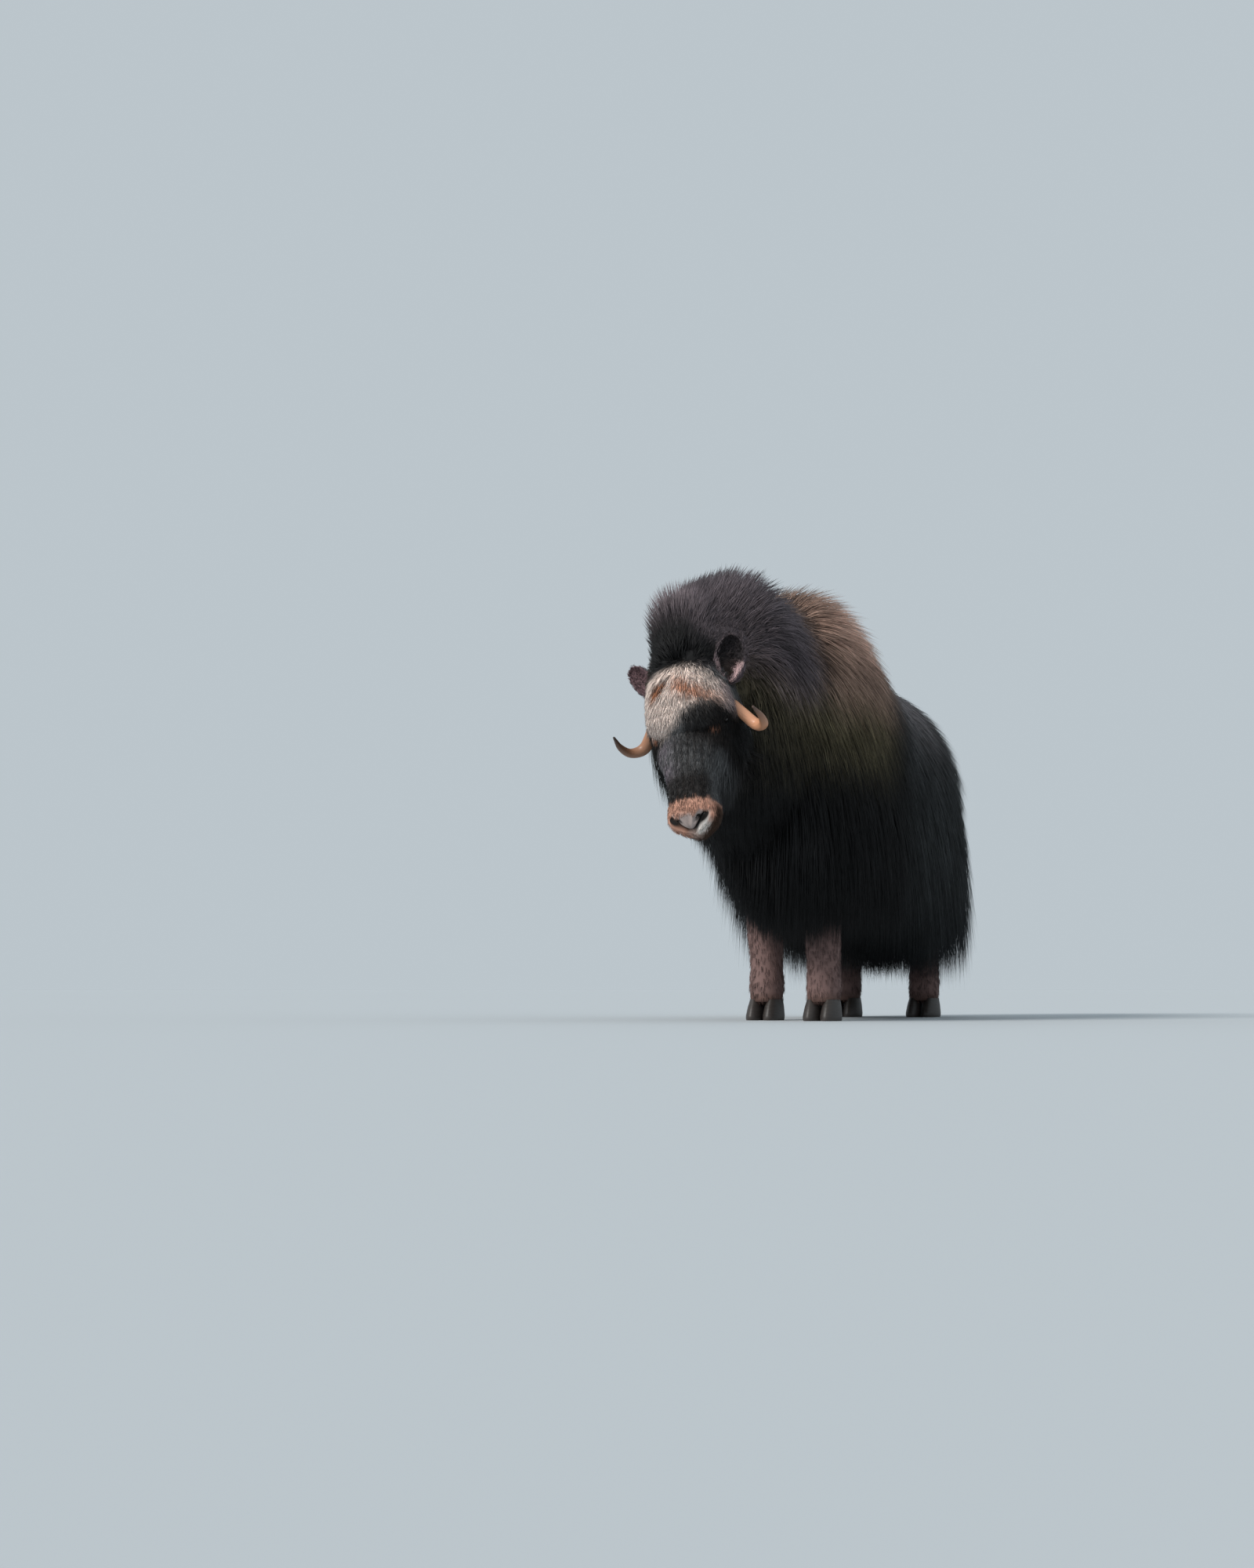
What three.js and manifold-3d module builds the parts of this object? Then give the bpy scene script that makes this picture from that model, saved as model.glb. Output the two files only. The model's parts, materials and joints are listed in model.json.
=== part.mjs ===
// A muskox at life size, standing with its head lowered and a little tilted, as a still museum model.
// Millimetres, +Z up. The animal faces -Y and its left side is +X. The long coat is built as flat, tapered
// locks fused to the body; the body is then parted with thin cuts into the parts a person would name.
import * as THREE from "three";
import { mergeVertices } from "three/addons/utils/BufferGeometryUtils.js";
import Module from "manifold-3d";

const wasm = await Module();
wasm.setup();

// Driving dimensions
const WHEELBASE = 950; // fore hoof to hind hoof
const STANCE_FORE = 100; // middle of the body to a fore leg
const STANCE_HIND = 122;
const FORE_STEP = 39; // the left fore foot is this far ahead, the right as far behind
const HIND_STEP = 34;
const HEAD_LENGTH = 450; // poll to nose
const HEAD_NOSE = 500; // where the nose is in the head's own rows, which are scaled to that length
const GAP = 0.3; // what touching nodes keep between them
const RADIAN = Math.PI / 180;

// Head pose: where the poll is, and how the head is turned from facing straight ahead and level
const POLL = new THREE.Vector3(-121, -538, 953);
const HEAD_TURN = 5 * RADIAN; // about the vertical, nose to its right
const HEAD_DROP = 74.5 * RADIAN; // nose below the horizontal
const HEAD_TILT = 9 * RADIAN; // left side up

const vector = (x, y, z) => new THREE.Vector3(x, y, z);
const UP = vector(0, 0, 1);
const BACKWARD = vector(0, 1, 0);

// Every run gives the same draws.
function seeded(seed) {
  let state = seed;
  return (low = 0, high = 1) => {
    state = (state + 0x6d2b79f5) | 0;
    let mixed = Math.imul(state ^ (state >>> 15), 1 | state);
    mixed = (mixed + Math.imul(mixed ^ (mixed >>> 7), 61 | mixed)) ^ mixed;
    return low + ((high - low) * ((mixed ^ (mixed >>> 14)) >>> 0)) / 4294967296;
  };
}

// Rows of { at, ... } become a function that gives every named value, smoothly, at any place between them.
function smoothRows(rows) {
  const names = Object.keys(rows[0]).filter((name) => name !== "at");
  const slope = (i, name) => {
    const before = rows[Math.max(i - 1, 0)];
    const after = rows[Math.min(i + 1, rows.length - 1)];
    return (after[name] - before[name]) / (after.at - before.at);
  };
  return (at) => {
    const last = rows.length - 2;
    const found = rows.findIndex((row, i) => i <= last && at <= rows[i + 1].at);
    const i = found < 0 ? last : found;
    const span = rows[i + 1].at - rows[i].at;
    const u = THREE.MathUtils.clamp((at - rows[i].at) / span, 0, 1);
    const values = {};
    for (const name of names) {
      const [a, b] = [rows[i][name], rows[i + 1][name]];
      const [m, n] = [slope(i, name) * span, slope(i + 1, name) * span];
      values[name] =
        a * (2 * u ** 3 - 3 * u ** 2 + 1) + m * (u ** 3 - 2 * u ** 2 + u) +
        b * (3 * u ** 2 - 2 * u ** 3) + n * (u ** 3 - u ** 2);
    }
    return values;
  };
}

// Solids and geometries
function solidOf(geometry) {
  const bare = geometry.index ? geometry.toNonIndexed() : geometry.clone();
  const merged = mergeVertices(
    new THREE.BufferGeometry().setAttribute("position", bare.getAttribute("position")),
    1e-3,
  );
  const vertProperties = new Float32Array(merged.attributes.position.array);
  const triVerts = new Uint32Array(merged.index.array);
  return new wasm.Manifold(new wasm.Mesh({ numProp: 3, vertProperties, triVerts }));
}

function geometryOf(solid) {
  const mesh = solid.getMesh();
  const points = new Float32Array(mesh.numVert * 3);
  for (let i = 0; i < mesh.numVert; i++) {
    points.set(mesh.vertProperties.subarray(i * mesh.numProp, i * mesh.numProp + 3), i * 3);
  }
  return new THREE.BufferGeometry()
    .setAttribute("position", new THREE.BufferAttribute(points, 3))
    .setIndex(new THREE.BufferAttribute(mesh.triVerts, 1));
}

const joined = (solids) => wasm.Manifold.union(solids);

// A node keeps its largest closed surface, which fills sealed hollows and drops loose scraps.
function largest(solid) {
  const pieces = solid.decompose();
  return pieces.reduce((best, piece) => (piece.volume() > best.volume() ? piece : best));
}

// Solid from points and triangles that may all face in or all face out
function facingOut(points, index) {
  const geometry = new THREE.BufferGeometry().setFromPoints(points).setIndex(index);
  const solid = solidOf(geometry);
  return solid.volume() > 0 ? solid : solidOf(geometry.setIndex(index.toReversed()));
}

// Closed skin over rings of points, with a fan to the middle of each end ring.
function skinned(rings) {
  const sides = rings[0].length;
  const middle = (ring) =>
    ring.reduce((sum, p) => sum.add(p), vector(0, 0, 0)).divideScalar(ring.length);
  const points = [...rings.flat(), middle(rings[0]), middle(rings.at(-1))];
  const index = [];
  for (let j = 0; j < sides; j++) {
    const next = (j + 1) % sides;
    for (let i = 0; i < rings.length - 1; i++) {
      const [a, b] = [i * sides + j, i * sides + next];
      index.push(a, b, b + sides, a, b + sides, a + sides);
    }
    const lastRing = (rings.length - 1) * sides;
    index.push(points.length - 2, next, j);
    index.push(points.length - 1, lastRing + j, lastRing + next);
  }
  return facingOut(points, index);
}

// A body part as a run of oval sections. `section(at)` gives the section's centre, its side and up
// directions, its half width, and its height above and below the centre; `square` fills its corners.
class Form {
  constructor(from, to, section) {
    Object.assign(this, { from, to, section });
  }

  point(at, angle, grow = 0) {
    const { centre, side, up, half, top, under, square = 1 } = this.section(at);
    const across = Math.sign(Math.sin(angle)) * Math.abs(Math.sin(angle)) ** square;
    const upward = Math.sign(Math.cos(angle)) * Math.abs(Math.cos(angle)) ** square;
    return centre.clone()
      .addScaledVector(side, (half + grow) * across)
      .addScaledVector(up, ((upward > 0 ? top : under) + grow) * upward);
  }

  normal(at, angle) {
    const step = (this.to - this.from) / 200;
    const alongIt = this.point(at + step, angle).sub(this.point(at - step, angle));
    const roundIt = this.point(at, angle + 0.02).sub(this.point(at, angle - 0.02));
    const out = alongIt.cross(roundIt).normalize();
    const fromMiddle = this.point(at, angle).sub(this.section(at).centre);
    return out.dot(fromMiddle) < 0 ? out.negate() : out;
  }

  solid(rings, sides, grow = 0) {
    const stations = Array.from({ length: rings }, (_, i) => {
      const u = i / (rings - 1);
      return this.from + (this.to - this.from) * u;
    });
    return skinned(
      stations.map((at) =>
        Array.from({ length: sides }, (_, j) => this.point(at, (2 * Math.PI * j) / sides, grow)),
      ),
    );
  }
}

// One flat, tapered lock with a ridge along its outer face. It leaves `root` along `start` and bends to
// `end`; `flat` faces away from the body. `grow` makes the slightly larger form that neighbours keep clear of.
const LOCK_STATIONS = [
  { share: 0, wide: 0.66 },
  { share: 0.34, wide: 1 },
  { share: 0.7, wide: 0.62 },
];
const TIP_CLEARANCE = 3;
const EDGE_CLEARANCE = 8; // times the growth, since the edges are sharp
function lock({ root, start, end, flat, length, wide, thick }, grow = 0) {
  const place = root.clone().addScaledVector(start, -grow);
  const rings = [];
  const heading = vector(0, 0, 0);
  const advance = (from, to) => {
    heading.copy(start).lerp(end, (from + to) / 2).normalize();
    place.addScaledVector(heading, (to - from) * length);
  };
  let reached = 0;
  for (const { share, wide: scale } of LOCK_STATIONS) {
    advance(reached, share);
    reached = share;
    const across = heading.clone().cross(flat).normalize();
    const out = across.clone().cross(heading).normalize();
    const half = (scale * wide) / 2 + EDGE_CLEARANCE * grow;
    rings.push(
      [[half, -grow], [0, scale * thick + 1.5 * grow], [-half, -grow]].map(([x, y]) =>
        place.clone().addScaledVector(across, x).addScaledVector(out, y),
      ),
    );
  }
  advance(reached, 1);
  if (grow) place.addScaledVector(heading, TIP_CLEARANCE);
  const points = [...rings.flat(), place];
  const sides = 3;
  const index = [0, 1, 2];
  for (let j = 0; j < sides; j++) {
    const next = (j + 1) % sides;
    for (let i = 0; i < rings.length - 1; i++) {
      const [from, to] = [i * sides + j, i * sides + next];
      index.push(from, to + sides, to, from, from + sides, to + sides);
    }
    const lastRing = (rings.length - 1) * sides;
    index.push(lastRing + j, points.length - 1, lastRing + next);
  }
  return facingOut(points, index);
}

// Trunk: the core under the coat, at stations along Y
const TRUNK_ROWS = [
  { at: -310, x: -44, back: 1020, belly: 640, half: 110, middle: 800 },
  { at: -250, x: -34, back: 1110, belly: 540, half: 172, middle: 770 },
  { at: -120, x: -12, back: 1180, belly: 470, half: 212, middle: 740 },
  { at: 40, x: 0, back: 1195, belly: 440, half: 225, middle: 715 },
  { at: 200, x: 0, back: 1140, belly: 430, half: 232, middle: 700 },
  { at: 380, x: 0, back: 1060, belly: 430, half: 236, middle: 690 },
  { at: 600, x: 0, back: 1025, belly: 430, half: 240, middle: 685 },
  { at: 800, x: 0, back: 1005, belly: 430, half: 236, middle: 685 },
  { at: 950, x: 0, back: 955, belly: 440, half: 214, middle: 690 },
  { at: 1060, x: 0, back: 885, belly: 480, half: 168, middle: 695 },
  { at: 1120, x: 0, back: 805, belly: 570, half: 100, middle: 700 },
];
const TRUNK_MESH = [13, 18];
const trunkRow = smoothRows(TRUNK_ROWS);
const trunk = new Form(TRUNK_ROWS[0].at, TRUNK_ROWS.at(-1).at, (at) => {
  const { x, back, belly, half, middle } = trunkRow(at);
  return {
    centre: vector(x, at, middle),
    side: vector(1, 0, 0),
    up: UP,
    half,
    top: back - middle,
    under: middle - belly,
    square: 0.86,
  };
});

// Neck: from deep in the trunk to the back of the head, as shares of its length
const NECK_ROWS = [
  { at: 0, x: 0, y: -60, z: 850, lean: 0, half: 165, top: 300, under: 300 },
  { at: 0.35, x: -32, y: -230, z: 855, lean: 3, half: 172, top: 318, under: 300 },
  { at: 0.62, x: -76, y: -370, z: 865, lean: 8, half: 168, top: 300, under: 260 },
  { at: 0.85, x: -112, y: -475, z: 870, lean: 14, half: 148, top: 246, under: 200 },
  { at: 1, x: -126, y: -540, z: 868, lean: 18, half: 108, top: 176, under: 140 },
];
const NECK_MESH = [7, 16];
const neckRow = smoothRows(NECK_ROWS);
const neck = new Form(0, 1, (at) => {
  const { x, y, z, lean, half, top, under } = neckRow(at);
  return {
    centre: vector(x, y, z),
    side: vector(1, 0, 0),
    up: vector(0, -Math.sin(lean * RADIAN), Math.cos(lean * RADIAN)),
    half,
    top,
    under,
    square: 0.95,
  };
});

// Head frame: `along` runs from the poll to the nose, `left` to its left, and `brow` out of the forehead
const ahead = vector(-Math.sin(HEAD_TURN), -Math.cos(HEAD_TURN), 0);
const level = vector(Math.cos(HEAD_TURN), -Math.sin(HEAD_TURN), 0);
const left = level.clone().multiplyScalar(Math.cos(HEAD_TILT)).addScaledVector(UP, Math.sin(HEAD_TILT));
const upright = level.clone().multiplyScalar(-Math.sin(HEAD_TILT)).addScaledVector(UP, Math.cos(HEAD_TILT));
const along = ahead.clone().multiplyScalar(Math.cos(HEAD_DROP)).addScaledVector(upright, -Math.sin(HEAD_DROP));
const brow = ahead.clone().multiplyScalar(Math.sin(HEAD_DROP)).addScaledVector(upright, Math.cos(HEAD_DROP));
const onHead = (down, across, out) =>
  POLL.clone()
    .addScaledVector(along, (down * HEAD_LENGTH) / HEAD_NOSE)
    .addScaledVector(left, across)
    .addScaledVector(brow, out);
const headTurn = new THREE.Matrix4().makeBasis(along, left, brow);

// Head: sections down its length, with the forehead above the middle line and the jaw below it
const HEAD_ROWS = [
  { at: -45, half: 58, top: 45, under: 60 },
  { at: 0, half: 98, top: 86, under: 108 },
  { at: 60, half: 116, top: 104, under: 130 },
  { at: 130, half: 120, top: 102, under: 146 },
  { at: 200, half: 112, top: 92, under: 148 },
  { at: 280, half: 88, top: 79, under: 126 },
  { at: 360, half: 70, top: 70, under: 98 },
  { at: 420, half: 67, top: 64, under: 82 },
  { at: 465, half: 66, top: 55, under: 72 },
  { at: 492, half: 54, top: 38, under: 56 },
  { at: 508, half: 26, top: 18, under: 28 },
];
const HEAD_MESH = [18, 16];
const headRow = smoothRows(HEAD_ROWS);
const head = new Form(HEAD_ROWS[0].at, HEAD_ROWS.at(-1).at, (at) => ({
  centre: onHead(at, 0, 0),
  side: left,
  up: brow,
  square: 0.92,
  ...headRow(at),
}));

// Scaled ball in the head's own directions
function headBall(centre, [down, across, out], segments = 16) {
  const ball = new THREE.SphereGeometry(1, segments, Math.round(segments * 0.7));
  ball.scale(down, across, out).applyMatrix4(headTurn);
  ball.translate(centre.x, centre.y, centre.z);
  return solidOf(ball);
}

// Horns: flat and broad where they cross the forehead, then down past the eye, out and up to a fine tip
const HORN_ROWS = [
  { at: 0, down: 54, across: 24, out: 88, wide: 40, deep: 18 },
  { at: 0.2, down: 68, across: 78, out: 72, wide: 38, deep: 21 },
  { at: 0.38, down: 98, across: 116, out: 26, wide: 29, deep: 19 },
  { at: 0.55, down: 140, across: 140, out: -24, wide: 21, deep: 17 },
  { at: 0.7, down: 182, across: 172, out: -42, wide: 17, deep: 16 },
  { at: 0.83, down: 198, across: 204, out: -22, wide: 13, deep: 13 },
  { at: 0.93, down: 192, across: 216, out: 18, wide: 9, deep: 9 },
  { at: 1, down: 178, across: 212, out: 62, wide: 3, deep: 3 },
];
const HORN_MESH = [13, 8]; // rings, sides
const hornRow = smoothRows(HORN_ROWS);
const hornPlace = (at, sign) => {
  const { down, across, out } = hornRow(at);
  return onHead(down, across * sign, out);
};
const horn = (sign) => new Form(0, 1, (at) => {
  const { wide, deep } = hornRow(at);
  const ends = [Math.max(at - 0.02, 0), Math.min(at + 0.02, 1)].map((t) => hornPlace(t, sign));
  const heading = ends[1].sub(ends[0]).normalize();
  const away = hornPlace(at, sign).sub(onHead(hornRow(at).down, 0, 0));
  const up = away.addScaledVector(heading, -away.dot(heading)).normalize();
  const side = heading.clone().cross(up).normalize();
  return { centre: hornPlace(at, sign), side, up, half: wide, top: deep, under: deep };
});

// Eyes, set in the sides of the head under a brow, with lids left standing round an almond opening
const EYE_RADIUS = 19;
const EYE = { down: 178, across: 94, out: 16 };
const eyePlace = (sign) => onHead(EYE.down, EYE.across * sign, EYE.out);
const eyeAxis = (sign) =>
  left.clone().multiplyScalar(sign * 0.86).addScaledVector(brow, 0.5).addScaledVector(along, -0.05).normalize();
const LID = 5.5; // thickness of the lids over the eyeball
function eyeball(sign, grow = 0) {
  const ball = new THREE.SphereGeometry(EYE_RADIUS + grow, 10, 8);
  const place = eyePlace(sign);
  return solidOf(ball.translate(place.x, place.y, place.z));
}
function lidOpening(sign) {
  const almond = new THREE.Shape();
  const [long, tall] = [17, 10.5];
  almond.moveTo(-long, 0);
  almond.quadraticCurveTo(0, tall * 2, long, 0);
  almond.quadraticCurveTo(0, -tall * 1.7, -long, 0);
  const depth = 40;
  const prism = new THREE.ExtrudeGeometry(almond, { depth, bevelEnabled: false, curveSegments: 6 });
  const axis = eyeAxis(sign);
  const length = along.clone().addScaledVector(axis, -along.dot(axis)).normalize();
  const across = axis.clone().cross(length);
  prism.applyMatrix4(new THREE.Matrix4().makeBasis(length, across, axis));
  const place = eyePlace(sign).addScaledVector(axis, 2);
  return solidOf(prism.translate(place.x, place.y, place.z));
}

// Ears: a leaf-shaped cup behind each horn. The left stands up and the right is laid out to its side.
const EAR = { length: 138, wide: 36, deep: 26, wall: 4.5 };
const EAR_POSES = {
  left: { down: 56, across: 118, out: 4, tipward: vector(-0.04, 0.1, 1), facing: vector(0.5, -0.85, 0) },
  right: { down: 40, across: -104, out: 14, tipward: vector(-0.68, 0.45, 0.58), facing: vector(-0.3, -0.9, 0) },
};
function ear(side, grow = 0) {
  const pose = EAR_POSES[side];
  const tipward = pose.tipward.clone().normalize();
  const facing = pose.facing.clone();
  facing.addScaledVector(tipward, -facing.dot(tipward)).normalize();
  const across = facing.clone().cross(tipward);
  const basis = new THREE.Matrix4().makeBasis(across, facing, tipward);
  const root = onHead(pose.down, pose.across, pose.out);
  const leaf = (inset, forward, segments) => {
    const profile = Array.from({ length: 8 }, (_, i) => {
      const u = i / 7;
      const round = Math.sin(Math.PI * Math.min(1, u ** 0.8)) ** 0.75;
      return new THREE.Vector2(Math.max(round, 0), (u - 0.5) * (EAR.length - 2 * inset) + EAR.length / 2);
    });
    profile[0].x = profile[7].x = 0;
    const shape = new THREE.LatheGeometry(profile, segments);
    shape.rotateX(Math.PI / 2);
    shape.scale(EAR.wide - inset + grow, EAR.deep - inset + grow, 1);
    shape.translate(0, forward, 0).applyMatrix4(basis);
    return solidOf(shape.translate(root.x, root.y, root.z));
  };
  const whole = leaf(0, 0, 12);
  return grow ? whole : whole.subtract(leaf(EAR.wall, EAR.deep * 0.75, 10));
}

// Muzzle: nostrils, the line of the mouth, which climbs to both sides, and lips along it
const MOUTH = { out: 8, from: 436, front: 492, slit: 5, climb: 0.4, deep: 90, reach: 95 };
function mouthPath(inset, drop) {
  const bends = Array.from({ length: 9 }, (_, i) => {
    const u = (i - 4) / 4;
    const down = MOUTH.from + Math.cos((u * Math.PI) / 2) ** 0.55 * (HEAD_NOSE - MOUTH.from - inset);
    const reach = headRow(Math.min(down, MOUTH.front)).half * 0.93 - inset;
    const across = Math.sign(u) * Math.min(reach, Math.abs(u) * 1.7 * reach);
    return onHead(down, across, MOUTH.out + drop + MOUTH.climb * Math.abs(across));
  });
  return new THREE.CatmullRomCurve3(bends);
}
function lip(drop, radius) {
  const round = new THREE.Shape().absarc(0, 0, radius, 0, Math.PI * 2, false);
  const tube = new THREE.ExtrudeGeometry(round, {
    steps: 7,
    curveSegments: 2,
    extrudePath: mouthPath(radius * 0.8, drop),
  });
  return solidOf(tube);
}
function mouthSlit() {
  const place = onHead(MOUTH.from, 0, MOUTH.out - 1);
  const sides = [-1, 1].map((sign) => {
    const slab = new THREE.BoxGeometry(MOUTH.deep, MOUTH.reach, MOUTH.slit);
    slab.translate(MOUTH.deep / 2, (sign * MOUTH.reach) / 2, 0);
    slab.rotateX(sign * Math.atan(MOUTH.climb)).applyMatrix4(headTurn);
    return solidOf(slab.translate(place.x, place.y, place.z));
  });
  return joined(sides);
}
const NOSTRIL = { down: 482, across: 30, out: 40 };
function nostril(sign) {
  return headBall(onHead(NOSTRIL.down, NOSTRIL.across * sign, NOSTRIL.out), [20, 10, 8], 8);
}

// Legs below the coat: sections up from the hoof, with their own fur
const FORE_LEG_ROWS = [
  { at: 52, half: 46, deep: 50, shift: 0 },
  { at: 100, half: 49, deep: 55, shift: 6 },
  { at: 170, half: 47, deep: 49, shift: 4 },
  { at: 260, half: 53, deep: 56, shift: -3 },
  { at: 380, half: 64, deep: 72, shift: 0 },
  { at: 620, half: 72, deep: 92, shift: 10 },
];
const HIND_LEG_ROWS = [
  { at: 52, half: 45, deep: 49, shift: 0 },
  { at: 100, half: 48, deep: 55, shift: 6 },
  { at: 170, half: 46, deep: 49, shift: 9 },
  { at: 270, half: 50, deep: 58, shift: 18 },
  { at: 380, half: 62, deep: 78, shift: 18 },
  { at: 620, half: 74, deep: 104, shift: -30 },
];
const LEGS = [
  { name: "fore_left", x: STANCE_FORE, y: -FORE_STEP, rows: FORE_LEG_ROWS },
  { name: "fore_right", x: -STANCE_FORE, y: FORE_STEP, rows: FORE_LEG_ROWS },
  { name: "hind_left", x: STANCE_HIND, y: WHEELBASE + HIND_STEP, rows: HIND_LEG_ROWS },
  { name: "hind_right", x: -STANCE_HIND, y: WHEELBASE - HIND_STEP, rows: HIND_LEG_ROWS },
];
const LEG_MESH = [7, 10];
function legForm({ x, y, rows }) {
  const row = smoothRows(rows);
  return new Form(rows[0].at, rows.at(-1).at, (at) => {
    const { half, deep, shift } = row(at);
    const centre = vector(x, y + shift, at);
    return { centre, side: vector(1, 0, 0), up: BACKWARD, half, top: deep, under: deep };
  });
}

// Hooves: two broad toes with a cleft between them, flat underneath
const HOOF = { height: 62, half: 30, length: 62, cleft: 5, toeOut: 26, sides: 8 };
function hoof({ x, y }) {
  const toes = [-1, 1].map((sign) => {
    const rings = [
      { z: 0, size: 0.94, forward: 12 },
      { z: 14, size: 1, forward: 10 },
      { z: 40, size: 0.88, forward: 4 },
      { z: HOOF.height - GAP, size: 0.72, forward: -2 },
    ].map(({ z, size, forward }) =>
      Array.from({ length: HOOF.sides }, (_, j) => {
        const angle = (2 * Math.PI * j) / HOOF.sides;
        const long = Math.cos(angle) > 0 ? HOOF.length * 0.8 : HOOF.length;
        const across = Math.sin(angle) * HOOF.half * size * (1 - 0.16 * Math.max(0, -Math.cos(angle)));
        return vector(
          x + sign * HOOF.toeOut + across,
          y - forward + Math.cos(angle) * long * size,
          z,
        );
      }),
    );
    return skinned(rings);
  });
  const cleft = new THREE.BoxGeometry(HOOF.cleft, HOOF.length * 1.7, HOOF.height * 1.5);
  cleft.translate(x, y - HOOF.length * 0.95, 0);
  const pastern = new Form(HOOF.height * 0.4, HOOF.height - GAP, (z) => ({
    centre: vector(x, y + 2, z),
    side: vector(1, 0, 0),
    up: BACKWARD,
    half: 42,
    top: 44,
    under: 40,
  }));
  return joined([...toes, pastern.solid(2, 8)]).subtract(solidOf(cleft));
}
function dewClaws({ x, y }) {
  return [-1, 1].map((sign) => {
    const claw = new THREE.SphereGeometry(1, 6, 4);
    claw.scale(13, 16, 20).translate(x + sign * 24, y + 52, 88);
    return solidOf(claw);
  });
}

// Tail: short and flat, hidden in the coat of the rump
const TAIL_MESH = [5, 10];
const tail = new Form(0, 1, (at) => ({
  centre: vector(0, 1112 + 36 * at ** 0.6, 900 - 150 * at),
  side: vector(1, 0, 0),
  up: vector(0, 0.96, 0.28),
  half: 34 - 18 * at,
  top: 20 - 9 * at,
  under: 20 - 9 * at,
}));

// Coat: rows of locks. A lock is kept as its settings, so that it can be made again a little larger.
const draw = seeded(20241);
const jitter = (amount) => draw(-amount, amount);
const rowOf = (from, to, step, shift = 0) =>
  Array.from({ length: Math.floor((to - from - shift) / step) + 1 }, (_, i) => from + shift + i * step);

function coatLock(form, at, angle, { lie, rise, fall, length, wide, thick, sink = 18, sway = 0.1 }) {
  const out = form.normal(at, angle);
  const root = form.point(at, angle).addScaledVector(out, -sink);
  const lay = lie.clone().add(vector(jitter(sway), jitter(sway), jitter(sway)));
  lay.addScaledVector(out, -lay.dot(out)).normalize();
  return {
    root,
    start: lay.clone().addScaledVector(out, rise).normalize(),
    end: lay.clone().addScaledVector(UP, -fall).addScaledVector(out, 0.03).normalize(),
    flat: out,
    length: length * draw(0.88, 1.12),
    wide: wide * draw(0.88, 1.12),
    thick,
  };
}

// The low parts of the coat hang below this height: before `front` the chest, behind `rear` the rump's skirt,
// and further out than `inner` the side skirts.
const SKIRT = { inner: 120, top: 690, front: -150, rear: 1000 };
const hemHeight = (y) => THREE.MathUtils.lerp(240, 140, THREE.MathUtils.smoothstep(y, 420, 1000));
const humpShare = (y) => 1 - THREE.MathUtils.smoothstep(y, 60, 330);

// Flank rows of one side, from the spine down: the hump's hair stands up and back, the rest hangs.
const FLANK_START = -205;
const FLANK_STEP = 168;
const FLANK_ROWS = [
  { angle: 8, length: 185, wide: 140, rise: 0.46 },
  { angle: 31, length: 205, wide: 144, rise: 0.33 },
  { angle: 55, length: 245, wide: 144, rise: 0.3 },
  { angle: 79, length: 285, wide: 142, rise: 0.32 },
];
function flankLocks(sign) {
  return FLANK_ROWS.flatMap(({ angle, length, wide, rise }, rowNumber) => {
    const topness = Math.cos(angle * RADIAN);
    const backward = 0.14 + 1.15 * topness ** 1.7;
    return rowOf(FLANK_START, 1085, FLANK_STEP, (rowNumber % 2) * FLANK_STEP * 0.5).map((y) => {
      const hump = humpShare(y) * topness ** 6;
      return coatLock(trunk, y + jitter(12), (angle + jitter(4)) * RADIAN * sign, {
        lie: vector(0, backward, -1),
        rise: rise + 0.34 * hump,
        fall: 0.45 - 0.2 * topness,
        length: length * (1 + 0.2 * hump),
        wide,
        thick: 15,
      });
    });
  });
}

// Long hair of the skirts. Each lock is as long as it takes to hang down to its row's height over the hem.
const SKIRT_ROWS = [
  { angle: 104, over: 100, shift: 78, rise: 0.4 },
  { angle: 122, over: 40, shift: 0, rise: 0.3 },
  { angle: 138, over: 0, shift: 78, rise: 0.12 },
];
const SKIRT_STEP = 157;
function hangingLock(root, out, over, rise, wide) {
  const lie = vector(jitter(0.08), jitter(0.08), -1).normalize();
  return {
    root,
    start: lie.clone().addScaledVector(out, rise).normalize(),
    end: lie.clone().addScaledVector(out, 0.04).normalize(),
    flat: out.clone().setZ(0).normalize(),
    length: (root.z - hemHeight(root.y) - over) * (1 + 0.1 * rise) * draw(0.95, 1.05),
    wide: wide * draw(0.9, 1.1),
    thick: 17,
  };
}
function skirtLocks(sign) {
  return SKIRT_ROWS.flatMap(({ angle, over, shift, rise }) =>
    rowOf(SKIRT.front + 30, SKIRT.rear - 75, SKIRT_STEP, shift).map((y) => {
      const out = trunk.normal(y, angle * RADIAN * sign);
      const root = trunk.point(y, angle * RADIAN * sign).addScaledVector(out, -24);
      return hangingLock(root, out, over, rise, 124);
    }),
  );
}

// Chest: hair between and before the fore legs, down to the hem, rooted up in the front of the trunk
const CHEST_ROWS = [
  { y: -212, z: 570, spread: 84, count: 3, over: 110, rise: 0.8 },
  { y: -200, z: 575, spread: 112, count: 3, over: 50, rise: 0.5 },
  { y: -178, z: 580, spread: 126, count: 4, over: 10, rise: 0.2 },
];
const CHEST_MIDDLE = -20;
function chestLocks() {
  return CHEST_ROWS.flatMap(({ y, z, spread, count, over, rise }) =>
    Array.from({ length: count }, (_, i) => {
      const x = THREE.MathUtils.lerp(-spread, spread, i / (count - 1));
      const out = vector(x * 0.006, -0.8, 0).normalize();
      return hangingLock(vector(CHEST_MIDDLE + x, y, z), out, over, rise, 122);
    }),
  );
}

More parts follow.
